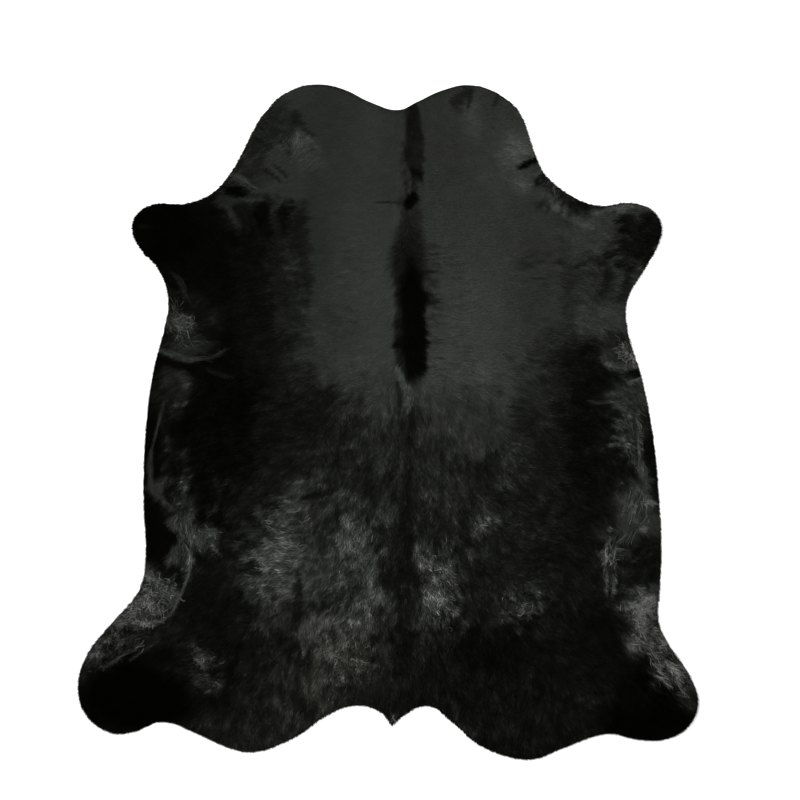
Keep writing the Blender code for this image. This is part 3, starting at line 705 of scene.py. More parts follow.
TUFTS = read_table(
    Tuft,
    ("armpit, left", -704, 318, 50, 34, -12, -15, 60, 90, 40, 200, 1450),
    ("armpit tail, left", -690, 385, 16, 44, 12, 100, 25, 40, 30, 50, 1600),
    ("armpit foot, left", -655, 262, 50, 18, 0, -10, 30, 40, 30, 50, 1300),
    ("armpit, right", 782, 232, 30, 34, 0, 150, 80, 90, 26, 260, 1850),
    ("neck light, left", -475, 785, 34, 14, -25, -25, 10, 15, 30, 36, 900),
    ("neck fringe, right", 520, 772, 40, 16, -46, 50, 20, 15, 18, 110, 1750),
    ("flank, left", -664, -375, 34, 75, 0, 96, 14, 20, 28, 160, 1050),
    ("flank lobe, left", -585, -368, 44, 26, 0, 10, 50, 60, 22, 60, 1200),
    ("hock, left", -795, -590, 80, 100, -30, -60, 60, 100, 25, 800, 1550),
    ("hock fringe, left", -895, -710, 100, 46, 38, -140, 45, 80, 18, 380, 1200),
    ("hock spray, left", -845, -750, 80, 26, 20, 35, 15, 20, 22, 60, 1800),
    ("thigh, upper left", -590, -775, 56, 36, 0, -160, 40, 90, 24, 210, 1450),
    ("thigh, lower left", -598, -850, 78, 24, -6, 176, 16, 30, 28, 130, 850),
    ("flank streaks, right", 790, -20, 45, 75, 0, -60, 30, 40, 40, 60, 1100),
    ("flank, combed, right", 812, -260, 64, 76, 0, -108, 10, 14, 34, 120, 950),
    ("flank fringe, right", 775, -362, 40, 18, 25, -122, 14, 20, 30, 80, 1150),
    ("stifle, right", 730, -432, 30, 30, 0, 0, 85, 30, 40, 80, 850),
    ("hock, right", 816, -615, 55, 95, 0, -20, 40, 90, 25, 640, 1150),
    ("hind leg, right", 908, -790, 125, 66, -52, -34, 22, 30, 32, 1100, 1250),
    ("loin, outer left", -370, -430, 120, 180, 0, 178, 18, 30, 26, 260, 1120),
    ("loin, inner left", -115, -370, 60, 150, 0, -94, 20, 30, 26, 180, 1120),
    ("loin, low left", -80, -600, 60, 120, 0, -105, 20, 40, 26, 160, 1150),
    ("croup, left", -140, -765, 120, 80, 0, -40, 40, 60, 24, 220, 1150),
    ("loin, right", 160, -520, 52, 140, 0, -95, 40, 90, 24, 340, 1350),
    ("rib star, right", 310, -332, 36, 24, -15, -20, 60, 40, 24, 40, 1150),
    ("rump, right", 428, -595, 58, 58, 0, -95, 45, 90, 22, 90, 1350),
    ("tail", 12, -955, 10, 20, 0, -80, 16, 20, 22, 20, 2000),
)


# ------------------------------------------------------------------ soft shapes in numbers


def smooth_step(low: float, high: float, values: Array) -> Array:
    """A share that climbs from 0 at low to 1 at high, level at both ends. Low may be the higher of them."""
    share = np.clip((values - low) / (high - low), 0.0, 1.0)
    return share * share * (3.0 - 2.0 * share)


def steered_line(row: Fold | Stroke, steps: int = 12) -> Array:
    """A curve from a row's start to its end that its bend pulls towards itself, as straight steps.

    Args:
        row: The row.
        steps: How many straight steps it has.

    Returns:
        The steps' ends, one row each.
    """
    t = np.linspace(0.0, 1.0, steps + 1)[:, None]
    start, bend, end = np.array((row.start, row.bend, row.end))
    return (1 - t) ** 2 * start + 2 * t * (1 - t) * bend + t**2 * end


def across_and_along(spots: Array, line: Array) -> tuple[Array, Array]:
    """How far each spot is from a line of straight steps, and how far along it its nearest place is.

    Args:
        spots: The spots, with x and y last.
        line: The steps' ends.

    Returns:
        The distances, and the shares of the way along, from 0 to 1.
    """
    best = np.full(spots.shape[:-1], np.inf)
    along = np.zeros(spots.shape[:-1])
    for step, (a, b) in enumerate(zip(line, line[1:])):
        run = b - a
        share = np.clip(((spots - a) @ run) / (run @ run), 0.0, 1.0)
        gap = np.hypot(*np.moveaxis(spots - a - share[..., None] * run, -1, 0))
        nearer = gap < best
        best = np.where(nearer, gap, best)
        along = np.where(nearer, (step + share) / (len(line) - 1), along)
    return best, along


def way_out(spots: Array, oval: Cloud | Ruffle, power: float = 2.0) -> Array:
    """How far out each spot is from an oval's middle, as a share of the way to its rim.

    Args:
        spots: The spots, with x and y last.
        oval: The oval.
        power: 2 for a round rim, and more for a squarer one.

    Returns:
        The shares, 1 on the rim.
    """
    turn = math.radians(oval.turn)
    dx, dy = spots[..., 0] - oval.x, spots[..., 1] - oval.y
    u = np.abs(dx * math.cos(turn) + dy * math.sin(turn)) / oval.half_width
    v = np.abs(dy * math.cos(turn) - dx * math.sin(turn)) / oval.half_height
    return (u**power + v**power) ** (1 / power)


def direction(angle: Array) -> Array:
    """Steps one unit long, at angles from +X."""
    return np.stack([np.cos(angle), np.sin(angle)], axis=-1)


def leftward(run: Array) -> Array:
    """Steps turned a quarter to the left."""
    return np.stack([-run[..., 1], run[..., 0]], axis=-1)


def draws_for(seed: int, place: str) -> Draws:
    """The random draws of one named place, which no other place's draws change."""
    return np.random.default_rng([seed, *place.encode()])


def linear(tone: Array) -> Array:
    """The light that a displayed tone stands for, both from 0 to 1."""
    return np.where(tone <= 0.04045, tone / 12.92, ((tone + 0.055) / 1.055) ** 2.4)


@dataclass
class Chart:
    """Even squares over the hide, on which its qualities are worked out once.

    Attributes:
        half_width: Half the chart's size in X.
        half_length: Half the chart's size in Y.
        step: The squares' size.
        seed: The seed of all its noise.
        spots: The squares' corners, by row and column.
        random: The source of its noise.
    """

    half_width: float = 1.05
    half_length: float = 1.14
    step: float = 0.0035
    seed: int = 11
    spots: Array = field(init=False)
    random: Draws = field(init=False)

    def __post_init__(self) -> None:
        """Lays out the squares' corners."""
        xs = np.arange(-self.half_width, self.half_width + self.step, self.step)
        ys = np.arange(-self.half_length, self.half_length + self.step, self.step)
        self.spots = np.stack(np.meshgrid(xs, ys), axis=-1)
        self.random = np.random.default_rng(self.seed)

    def read(self, values: Array, spots: Array) -> Array:
        """Reads a quality at any spots, blended between the four corners round each.

        Args:
            values: The quality at the chart's corners, with or without a last axis of its parts.
            spots: Where to read it, with x and y last.

        Returns:
            The quality at each spot.
        """
        rows, columns = values.shape[:2]
        u = np.clip((spots[..., 0] + self.half_width) / self.step, 0, columns - 1.001)
        v = np.clip((spots[..., 1] + self.half_length) / self.step, 0, rows - 1.001)
        i, j = u.astype(int), v.astype(int)
        fu, fv = u - i, v - j
        if values.ndim == 3:
            fu, fv = fu[..., None], fv[..., None]
        return self.blended(values, (i, j), (fu, fv))

    @staticmethod
    def blended(values: Array, square: tuple[Array, Array], share: tuple[Array, Array]) -> Array:
        """Blends the values at the corners of squares.

        Args:
            values: The values by row and column.
            square: Each square's column and row.
            share: How far across and up it the wanted place is.

        Returns:
            The value at each place.
        """
        (i, j), (fu, fv) = square, share
        lower = values[j, i] * (1 - fu) + values[j, i + 1] * fu
        upper = values[j + 1, i] * (1 - fu) + values[j + 1, i + 1] * fu
        return lower * (1 - fv) + upper * fv

    def around(self, places: Array, reach: float) -> tuple[slice, slice]:
        """The chart's rows and columns round some places.

        Args:
            places: The places, one row each.
            reach: How far past them it goes on each side.

        Returns:
            The rows and the columns.
        """
        origin = (self.half_width, self.half_length)
        low, high = places.min(axis=0) - reach, places.max(axis=0) + reach
        first = np.maximum(((low + origin) / self.step).astype(int), 0)
        last = np.maximum(((high + origin) / self.step).astype(int) + 2, 0)
        return slice(first[1], last[1]), slice(first[0], last[0])

    def noise(self, size: float) -> Array:
        """Soft noise over the chart, with a spread of 1.

        Args:
            size: The size of its lumps.

        Returns:
            The noise at each corner.
        """
        rows = int(2 * self.half_length / size) + 3
        columns = int(2 * self.half_width / size) + 3
        lattice = self.random.standard_normal((rows, columns))
        u = (self.spots[..., 0] + self.half_width) / size
        v = (self.spots[..., 1] + self.half_length) / size
        i, j = u.astype(int), v.astype(int)
        made = self.blended(lattice, (i, j), (smooth_step(0, 1, u - i), smooth_step(0, 1, v - j)))
        return made / made.std()

    def layered(self, layers: Layers) -> Array:
        """Soft noises added up, from how strong each is and the size of its lumps."""
        return sum(share * self.noise(size) for share, size in layers)

    def streaks(self, values: Array, lie: Array, reach: float, steps: int = 5) -> Array:
        """Smears a noise along the lie of the hair and brings its spread back to 1.

        Args:
            values: The noise at each corner.
            lie: The lie of the hair there.
            reach: How far it is smeared each way.
            steps: How many steps it takes each way.

        Returns:
            The smeared noise.
        """
        total = np.zeros_like(values)
        for share in np.linspace(-1, 1, 2 * steps + 1):
            total += self.read(values, self.spots + lie * (share * reach))
        return (total - total.mean()) / total.std()


# ------------------------------------------------------------------ the hide's qualities


@dataclass
class Form:
    """How the hide stands off the floor.

    Attributes:
        chart: The squares that it is worked out on.
        skin: The thickness of the leather.
        lift: How far the underside stands off the floor, at each corner of the chart.
    """

    chart: Chart
    skin: float = 0.0025
    lift: Array = field(init=False)

    def __post_init__(self) -> None:
        """Raises the folds and the curls, then the small creases on them."""
        spots = self.chart.spots
        lift = np.zeros(spots.shape[:2])
        for fold in FOLDS:
            lift = np.maximum(lift, self.ridge(fold))
        for curl in CURLS:
            gap = np.hypot(spots[..., 0] - curl.x, spots[..., 1] - curl.y)
            hump = 0.5 + 0.5 * np.cos(np.pi * np.clip(gap / curl.radius, 0, 1))
            lift = np.maximum(lift, curl.height * hump)
        for crease in CREASES:
            lift = lift + self.ridge(crease)
        self.lift = lift

    def ridge(self, fold: Fold) -> Array:
        """How far one fold raises the hide.

        Args:
            fold: The fold.

        Returns:
            Its height at each corner of the chart.
        """
        raised = np.zeros(self.chart.spots.shape[:2])
        line = steered_line(fold)
        part = self.chart.around(line, fold.width)
        gap, along = across_and_along(self.chart.spots[part], line)
        hump = 0.5 + 0.5 * np.cos(np.pi * np.clip(gap / (fold.width / 2), 0, 1))
        raised[part] = fold.height * np.sqrt(np.sin(np.pi * along)) * hump
        return raised

    def lift_at(self, spots: Array) -> Array:
        """How far the underside stands off the floor at any spots."""
        return self.chart.read(self.lift, spots)


@dataclass
class Lie:
    """Which way the hair lies, and where it is ruffled.

    Attributes:
        chart: The squares that it is worked out on.
        wander: How far the hair strays from its lie in a ruffled place, in degrees.
        wanders: The noises that it strays by there.
        drifts: The noises that it strays by everywhere, in degrees.
        blend: How near two combs are before they share the hair evenly.
        parting: How far off the spine the hair has turned all the way outwards.
        along: The lie at each corner of the chart, as a direction one unit long.
        ruffled: How ruffled the hair is there, from 0 to 1.
    """

    chart: Chart
    wander: float = 75.0
    wanders: Layers = ((0.6, 0.022), (0.4, 0.010))
    drifts: Layers = ((10.0, 0.05), (6.0, 0.018))
    blend: float = 0.02
    parting: float = 0.03
    along: Array = field(init=False)
    ruffled: Array = field(init=False)

    def __post_init__(self) -> None:
        """Blends the combs, turns the hair at the whorls and lets it wander where it is ruffled."""
        spots = self.chart.spots
        spine_y = np.array([y for _, y in SPINE[::-1]])
        spine_x = np.array([x for x, _ in SPINE[::-1]])
        off = spots[..., 0] - np.interp(spots[..., 1], spine_y, spine_x)
        weight_sum = np.zeros(off.shape)
        heading = np.zeros(off.shape)
        for comb in COMBS:
            gap2 = (np.abs(off) - comb.off_spine) ** 2 + (spots[..., 1] - comb.y) ** 2
            weight = 1.0 / (gap2 + self.blend**2) ** 1.5
            weight_sum += weight
            heading += weight * math.radians(comb.heading)
        heading = heading / weight_sum * smooth_step(0.0, self.parting, np.abs(off))
        angle = -math.pi / 2 + np.sign(off) * heading
        for whorl in WHORLS:
            gap = np.hypot(spots[..., 0] - whorl.x, spots[..., 1] - whorl.y) / whorl.radius
            angle += math.radians(whorl.turn) * smooth_step(1.0, 0.0, gap)
        self.ruffled = np.zeros(off.shape)
        for ruffle in RUFFLES:
            share = smooth_step(1.15, 0.5, way_out(spots, ruffle)) * ruffle.strength
            self.ruffled = np.maximum(self.ruffled, share)
        angle += math.radians(self.wander) * self.ruffled * self.chart.layered(self.wanders)
        angle += sum(math.radians(turn) * self.chart.noise(size) for turn, size in self.drifts)
        self.along = direction(angle)


@dataclass
class Tone:
    """The tone of the dyed coat, with its painted sheen, highlights and shade laid in.

    Attributes:
        chart: The squares that it is worked out on.
        lie: The lie of the hair, which the streaks follow.
        sways: The noises that the patches' rims stray by.
        fringe: How strongly their rims are drawn out along the hair.
        blotches: The noises that make the soft blotches.
        streaks: How strong the fine streaks, the bold ones and the soft blotches are in a full grain.
        halves: Half a mark's length, from the least to the most, as shares of its lot's length.
        strengths: A mark's strength, from the least to the most, as shares of its lot's.
        tone: The displayed brightness at each corner of the chart, streaks and all.
        grain: How strongly the locks differ there, from 0 to 1.
    """

    chart: Chart
    lie: Lie
    sways: Layers = ((0.6, 0.07), (0.3, 0.03))
    fringe: float = 0.45
    blotches: Layers = ((0.7, 0.022), (0.5, 0.045))
    streaks: tuple[float, float, float] = (0.18, 0.24, 0.22)
    halves: Reach = (0.3, 0.7)
    strengths: Reach = (0.6, 1.3)
    tone: Array = field(init=False)
    grain: Array = field(init=False)

    def __post_init__(self) -> None:
        """Lays the clouds and strokes over the ground, then the marks, then streaks along the hair."""
        chart, spots = self.chart, self.chart.spots
        self.tone = np.full(spots.shape[:2], BASE_TONE)
        self.grain = np.full(spots.shape[:2], BASE_GRAIN)
        fringe = chart.streaks(chart.noise(0.008), self.lie.along, 0.014)
        sway = np.zeros(spots.shape)
        for share, size in self.sways:
            sway += share * np.stack([chart.noise(size), chart.noise(size)], axis=-1)
        sway += self.fringe * fringe[..., None] * self.lie.along
        for cloud in CLOUDS:
            self.lay_cloud(cloud, sway)
        for stroke in STROKES:
            self.lay_stroke(stroke, sway)
        marked = np.zeros(self.tone.shape)
        for marks in MARKS:
            self.scatter(marks, marked)
        fine = chart.streaks(chart.random.standard_normal(self.tone.shape), self.lie.along, 0.008)
        bold = chart.streaks(chart.noise(0.009), self.lie.along, 0.014)
        blotch = chart.layered(self.blotches)
        streaks = sum(share * made for share, made in zip(self.streaks, (fine, bold, blotch)))
        self.tone *= np.exp(marked + self.grain * streaks)

    def lay_cloud(self, cloud: Cloud, sway: Array) -> None:
        """Lays one cloud over what is there.

        Args:
            cloud: The cloud.
            sway: How its rim strays at each corner of the chart, for a raggedness of 1.
        """
        # The cloud's kind, for a patch of dye as for one of painted sheen, highlight or shade.
        dye = cloud.dye
        reach = max(cloud.half_width, cloud.half_height) * 1.5 + 4 * dye.ragged
        part = self.chart.around(np.array([(cloud.x, cloud.y)]), reach)
        out = way_out(self.chart.spots[part] + sway[part] * dye.ragged, cloud, dye.power)
        share = dye.cover * smooth_step(1 + dye.edge, 1 - dye.edge, out)
        self.tone[part] += (cloud.tone - self.tone[part]) * share
        self.grain[part] += (dye.grain - self.grain[part]) * share

    def lay_stroke(self, stroke: Stroke, sway: Array) -> None:
        """Lays one stroke over what is there, drawn to a point at both ends.

        Args:
            stroke: The stroke.
            sway: How its rim strays at each corner of the chart, for a raggedness of 1.
        """
        line = steered_line(stroke)
        part = self.chart.around(line, stroke.width)
        gap, along = across_and_along(self.chart.spots[part] + sway[part] * stroke.width * 0.10, line)
        rim = stroke.width / 2 * np.clip(np.sin(np.pi * along), 0.02, 1) ** 0.35
        share = stroke.cover * smooth_step(1 + stroke.edge, 1 - stroke.edge, gap / rim)
        self.tone[part] += (stroke.tone - self.tone[part]) * share

    def scatter(self, marks: Marks, marked: Array) -> None:
        """Adds one lot of scattered strokes to what the marks change.

        Args:
            marks: The lot.
            marked: The change so far at each corner of the chart, which is added to.
        """
        random = draws_for(self.chart.seed, marks.place)
        for _ in range(marks.count):
            out, round_at = math.sqrt(random.random()), random.uniform(0, 2 * math.pi)
            x = marks.x + marks.half_width * out * math.cos(round_at)
            y = marks.y + marks.half_height * out * math.sin(round_at)
            angle = math.radians(random.normal(marks.angle, marks.stray))
            half = marks.length * random.uniform(*self.halves)
            run = np.array((half * math.cos(angle), half * math.sin(angle)))
            line = np.array((x, y)) + np.stack([-run, run])
            part = self.chart.around(line, marks.width)
            gap, along = across_and_along(self.chart.spots[part], line)
            share = smooth_step(marks.width, 0, gap) * np.sqrt(np.sin(np.pi * np.clip(along, 0.01, 0.99)))
            marked[part] += marks.lighter * random.uniform(*self.strengths) * share

    def at(self, spots: Array) -> Array:
        """The tone at any spots."""
        return self.chart.read(self.tone, spots)


# ------------------------------------------------------------------ finishes


@dataclass(frozen=True)
class Value:
    """A shader socket on which sums, products and powers can be written as on a number.

    Attributes:
        nodes: The material's nodes.
        socket: The output that it stands for.
    """

    nodes: "Nodes"
    socket: NodeSocket

    def computed(self, operation: str, first: Any, second: Any) -> "Value":
        """What one Math node makes of two Values or numbers."""
        return self.nodes.value("Math", 0, {"operation": operation}, {0: first, 1: second})

    def __add__(self, other: Any) -> "Value":
        """self + other."""
        return self.computed("ADD", self, other)

    def __radd__(self, other: Any) -> "Value":
        """other + self."""
        return self.computed("ADD", other, self)

    def __sub__(self, other: Any) -> "Value":
        """self - other."""
        return self.computed("SUBTRACT", self, other)

    def __mul__(self, other: Any) -> "Value":
        """self * other."""
        return self.computed("MULTIPLY", self, other)

    def __pow__(self, other: Any) -> "Value":
        """self ** other."""
        return self.computed("POWER", self, other)


class Nodes:
    """The nodes of one material, each made by one call.

    Attributes:
        material: The material.
        tree: Its node tree.
    """

    def __init__(self, name: str) -> None:
        """Starts a material with no nodes.

        Args:
            name: The material's name.
        """
        self.material = bpy.data.materials.new(name)
        self.material.use_nodes = True
        self.tree = self.material.node_tree
        self.tree.nodes.clear()

    def add(
        self,
        kind: str,
        settings: Mapping[str, Any] | None = None,
        inputs: Mapping[str | int, Any] | None = None,
    ) -> Node:
        """Makes one node, sets it up and then fills or links its sockets.

        Args:
            kind: The node's type, as Blender names it after ShaderNode.
            settings: Its own settings.
            inputs: A number, a colour or a Value for each named or numbered input.

        Returns:
            The node.
        """
        node = self.tree.nodes.new(f"ShaderNode{kind}")
        for name, setting in (settings or {}).items():
            setattr(node, name, setting)
        for name, given in (inputs or {}).items():
            if isinstance(given, Value):
                self.tree.links.new(given.socket, node.inputs[name])
            else:
                node.inputs[name].default_value = given
        return node

    def value(self, kind: str, output: str | int, settings: Any = None, inputs: Any = None) -> Value:
        """Makes one node, as add does, and gives one of its outputs by its name or number."""
        return Value(self, self.add(kind, settings, inputs).outputs[output])

    def attribute(self, name: str) -> Value:
        """A number that each point of the piece carries."""
        return self.value("Attribute", "Fac", {"attribute_name": name})

    def place(self) -> Value:
        """The spot on the hide, in metres."""
        return self.value("TexCoord", "Object")

    def grain(self, size: float, detail: float = 3.0) -> Value:
        """Noise from 0 to 1.

        Args:
            size: The size of its lumps, in metres.
            detail: How many finer noises it holds.

        Returns:
            The noise.
        """
        settings = {"noise_dimensions": "3D"}
        inputs = {"Vector": self.place(), "Scale": 1.0 / size, "Detail": detail}
        return self.value("TexNoise", "Fac", settings, inputs)

    def share_between(self, value: Any, low: float, high: float, curve: str = "SMOOTHSTEP") -> Value:
        """How far a value is from low to high, as a share from 0 to 1."""
        inputs = {"Value": value, "From Min": low, "From Max": high}
        return self.value("MapRange", "Result", {"interpolation_type": curve}, inputs)

    def scaled(self, colour: Value, share: Value) -> Value:
        """A colour made so many times as bright."""
        return self.value("VectorMath", 0, {"operation": "SCALE"}, {0: colour, "Scale": share})

    def blend(self, share: Value, first: Any, second: Any) -> Value:
        """A colour that is so large a share of the way from the first to the second."""
        settings = {"data_type": "RGBA", "clamp_factor": True}
        return self.value("Mix", 2, settings, {0: share, 6: first, 7: second})

    def bump(self, size: float, depth: float) -> Value:
        """A fine relief, from the size and the depth of its lumps in metres."""
        return self.value("Bump", 0, None, {"Height": self.grain(size), "Distance": depth})

    def surface(self, colour: Any, roughness: Any, glint: float, relief: Any = None) -> Value:
        """Makes a shader of one colour.

        Args:
            colour: Its colour.
            roughness: Its roughness.
            glint: How strongly it mirrors the light.
            relief: Its relief, where it has one.

        Returns:
            The shader.
        """
        inputs = {"Base Color": colour, "Roughness": roughness, "Specular IOR Level": glint}
        if relief:
            inputs["Normal"] = relief
        return self.value("BsdfPrincipled", 0, None, inputs)

    def finish(self, surface: Value) -> Material:
        """Joins the last shader to the output, and gives the material."""
        self.add("OutputMaterial", None, {"Surface": surface})
        return self.material


@dataclass(frozen=True)
class HairFinish:
    """Short black-dyed hair, silky where it lies smooth and matt where it is dyed deepest.

    Attributes:
        name: The material's name.
        cool: Its deepest tint from the neck to the croup, greenish from the dye.
        warm: Its deepest tint over the rump and hind legs, towards olive.
        lilac: The tint that it drifts towards in soft patches.
        plain: The tint of the palest hairs, near neutral: some took little dye, and much of their paleness
            is painted sheen and highlight.
        black: The tint of the blackest hairs.
        turning: From which y to which y the warm tint gives way to the cool one.
        drift: How far the lilac patches go towards their tint.
        paling: How much faster than its shade a hair nears the plain tint.
        blackest: The shades from which to which a hair nears the black tint.
        roughness: The roughness of the silky hair and of the hair that is dyed deepest.
        glint: How strongly silky hair mirrors the light.
        depth: How bright it is against the locks, less for the nap between them, where it stands for painted
            shade between the locks.
        relief: The depth of its bump in metres, where it has one.
    """

    name: str
    cool: Colour = (0.778, 1.0, 0.717, 1.0)
    warm: Colour = (0.974, 1.0, 0.650, 1.0)
    lilac: Colour = (0.900, 0.975, 0.860, 1.0)
    plain: Colour = (1.000, 1.0, 0.970, 1.0)
    black: Colour = (1.000, 1.0, 0.770, 1.0)
    turning: Reach = (-0.80, -0.56)
    drift: float = 0.5
    paling: float = 9.0
    blackest: Reach = (0.006, 0.001)
    roughness: Reach = (0.40, 0.85)
    glint: float = 0.10
    depth: float = 1.0
    relief: float = 0.0

    def make(self) -> Material:
        """Builds the material from each point's shade and silk.

        Returns:
            The material.
        """
        nodes = Nodes(self.name)
        shade = nodes.attribute("shade")
        silk = nodes.attribute("silk")
        y = nodes.value("SeparateXYZ", "Y", None, {"Vector": nodes.place()})
        forward = nodes.share_between(y, *self.turning)
        tint = nodes.blend(forward, self.warm, self.cool)
        drift = nodes.share_between(nodes.grain(0.10, 2.0), 0.35, 0.65)
        tint = nodes.blend(drift * self.drift, tint, self.lilac)
        pale = (shade * self.paling) ** 0.5
        dyed = nodes.share_between(shade, *self.blackest, "LINEAR")
        tint = nodes.blend(pale, tint, self.plain)
        tint = nodes.blend(dyed, tint, self.black)
        speckle = nodes.grain(0.004, 4.0) * 0.5 + 0.75
        colour = nodes.scaled(tint, shade * speckle * self.depth)
        smooth, matt = self.roughness
        sheen = nodes.grain(0.03) * 0.2 + smooth
        relief = nodes.bump(0.003, self.relief) if self.relief else None
        silky = nodes.surface(colour, sheen, self.glint, relief)
        deep = nodes.surface(colour, matt, 0.0, relief)
        return nodes.finish(nodes.value("MixShader", 0, None, {0: silk, 1: deep, 2: silky}))


@dataclass(frozen=True)
class SuedeFinish:
    """The sueded flesh side and the cut edge, dyed through to a dark brown grey.

    Attributes:
        dark: Its darker colour, in broad clouds and a fine grain.
        light: Its colour where it is rubbed.
    """

    dark: Colour = (0.022, 0.019, 0.017, 1.0)
    light: Colour = (0.060, 0.052, 0.045, 1.0)

    def make(self) -> Material:
        """Builds the material from broad clouds and a fine nap.

        Returns:
            The material.
        """
        nodes = Nodes("flesh_side")
        share = nodes.grain(0.12, 5.0) * 0.7 + nodes.grain(0.002, 2.0) * 0.6 - 0.15
        colour = nodes.blend(share, self.dark, self.light)
        relief = nodes.bump(0.0015, 0.0004)
        rough = 0.8 + nodes.grain(0.05) * 0.2
        return nodes.finish(nodes.surface(colour, rough, 0.1, relief))


@dataclass(frozen=True)
class FloorFinish:
    """The plain pale floor.

    Attributes:
        colour: Its colour.
    """

    colour: Colour = (0.9, 0.9, 0.9, 1.0)

    def make(self) -> Material:
        """Builds the material."""
        nodes = Nodes("pale_floor")
        return nodes.finish(nodes.surface(self.colour, 1.0, 0.0))


# ------------------------------------------------------------------ pieces


@dataclass
class Outline:
    """The hide's cut edge as a closed smooth line.

    Attributes:
        chart: The squares that its margin is worked out on.
        reach: How far off the edge the margin is still measured.
        spots: The edge's places in order, one row each.
        margin: At each corner of the chart, how far inside the edge it is, less than 0 outside.
    """

    chart: Chart
    reach: float = 0.06
    spots: Array = field(init=False)
    margin: Array = field(init=False)

    def trace(self, node: Object) -> None:
        """Follows the lower edge of the solid hide all the way round.

        Args:
            node: The solid hide, as the frame holds it.
        """
        solid = bmesh.new()
        solid.from_mesh(node.data)
        bmesh.ops.remove_doubles(solid, verts=solid.verts, dist=1e-5)
        above = [face for face in solid.faces if face.normal.z >= -0.5]
        bmesh.ops.delete(solid, geom=above, context="FACES")
        edges = [edge for edge in solid.edges if edge.is_boundary]
        LOG.info("underside of %d faces, cut edge of %d steps", len(solid.faces), len(edges))
        vert = edges[0].verts[0]
        first, edge = vert, edges[0]
        ring = []
        while True:
            ring.append(vert.co.xy[:])
            vert = edge.other_vert(vert)
            if vert == first:
                break
            edge = next(e for e in vert.link_edges if e.is_boundary and e != edge)
        solid.free()
        self.spots = self.smoothed(np.array(ring))
        self.margin = self.measure()

    @staticmethod
    def smoothed(ring: Array, cuts: int = 3) -> Array:
        """A rounder line through a closed ring of places, as a spline that passes through them all.

        Args:
            ring: The places in order.
            cuts: How many steps stand for each of the ring's.

        Returns:
            The rounder line's places.
        """
        before, after, beyond = (np.roll(ring, by, axis=0)[:, None] for by in (1, -1, -2))
        here, t = ring[:, None], (np.arange(cuts) / cuts)[:, None]
        lean = (after - before) * t
        bend = (2 * before - 5 * here + 4 * after - beyond) * t**2
        twist = (3 * here - before - 3 * after + beyond) * t**3
        return (0.5 * (2 * here + lean + bend + twist)).reshape(-1, 2)

    def measure(self) -> Array:
        """Works out how far inside the edge each corner of the chart is.

        Returns:
            The distances, less than 0 outside and no more than the reach either way.
        """
        spots, ys = self.chart.spots, self.chart.spots[:, 0, 1]
        ends = np.roll(self.spots, -1, axis=0)
        inside = np.zeros(spots.shape[:2], bool)
        for (ax, ay), (bx, by) in zip(self.spots, ends):
            if ay == by:
                continue
            rows = (ys > min(ay, by)) & (ys <= max(ay, by))
            cross = ax + (ys[rows] - ay) * (bx - ax) / (by - ay)
            inside[rows] ^= spots[rows, :, 0] < cross[:, None]
        gap = np.full(spots.shape[:2], self.reach)
        for a, b in zip(self.spots, ends):
            step = np.stack([a, b])
            part = self.chart.around(step, self.reach)
            near, _ = across_and_along(spots[part], step)
            gap[part] = np.minimum(gap[part], near)
        return np.where(inside, gap, -gap)

    def margin_at(self, spots: Array) -> Array:
        """How far inside the edge any spots are, less than 0 outside."""
        return self.chart.read(self.margin, spots)


def placed(name: str, data: Any) -> Object:
    """Puts a mesh, a lamp or a camera in the scene.

    Args:
        name: The object's name.
        data: What it holds.

    Returns:
        The object.
    """
    made = bpy.data.objects.new(name, data)
    bpy.context.scene.collection.objects.link(made)
    return made


def new_piece(name: str, mesh: Mesh) -> Object:
    """Puts a mesh in the scene as a piece that rides on the hide's body.

    Args:
        name: The piece's name.
        mesh: Its mesh.

    Returns:
        The piece.
    """
    piece = placed(name, mesh)
    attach(piece, "root")
    return piece


@dataclass
class Coat:
    """What the finish of the hair reads at any spot: its shade and its silk.

    Attributes:
        tone: The tone of the coat.
        light: How much brighter than 1 the floor's light makes a white thing.
        silk_light: The light that silky hair throws back with no help from its colour.
        brightest: The tone that the palest hairs near and never pass.
        blackest: The least shade.
        silken: The tone at which hair starts to be silky, and the one at which it is so altogether.
    """

    tone: Tone
    light: float = 1.25
    silk_light: float = 0.008
    brightest: float = 0.58
    blackest: float = 0.0006
    silken: Reach = (0.02, 0.22)

    def dress(self, mesh: Mesh, tone: Array) -> None:
        """Gives each point of a mesh the shade and silk that show as a tone, for its finish to read.

        Args:
            mesh: The mesh.
            tone: The displayed brightness wanted at each point.
        """
        tone = tone / (1.0 + (tone / self.brightest) ** 4) ** 0.25
        silk = smooth_step(*self.silken, tone)
        shade = np.maximum(linear(tone) / self.light - self.silk_light * silk, self.blackest)
        for name, numbers in (("shade", shade), ("silk", silk)):
            values = mesh.attributes.new(name, "FLOAT", "POINT").data
            values.foreach_set("value", numbers.astype(np.float32))


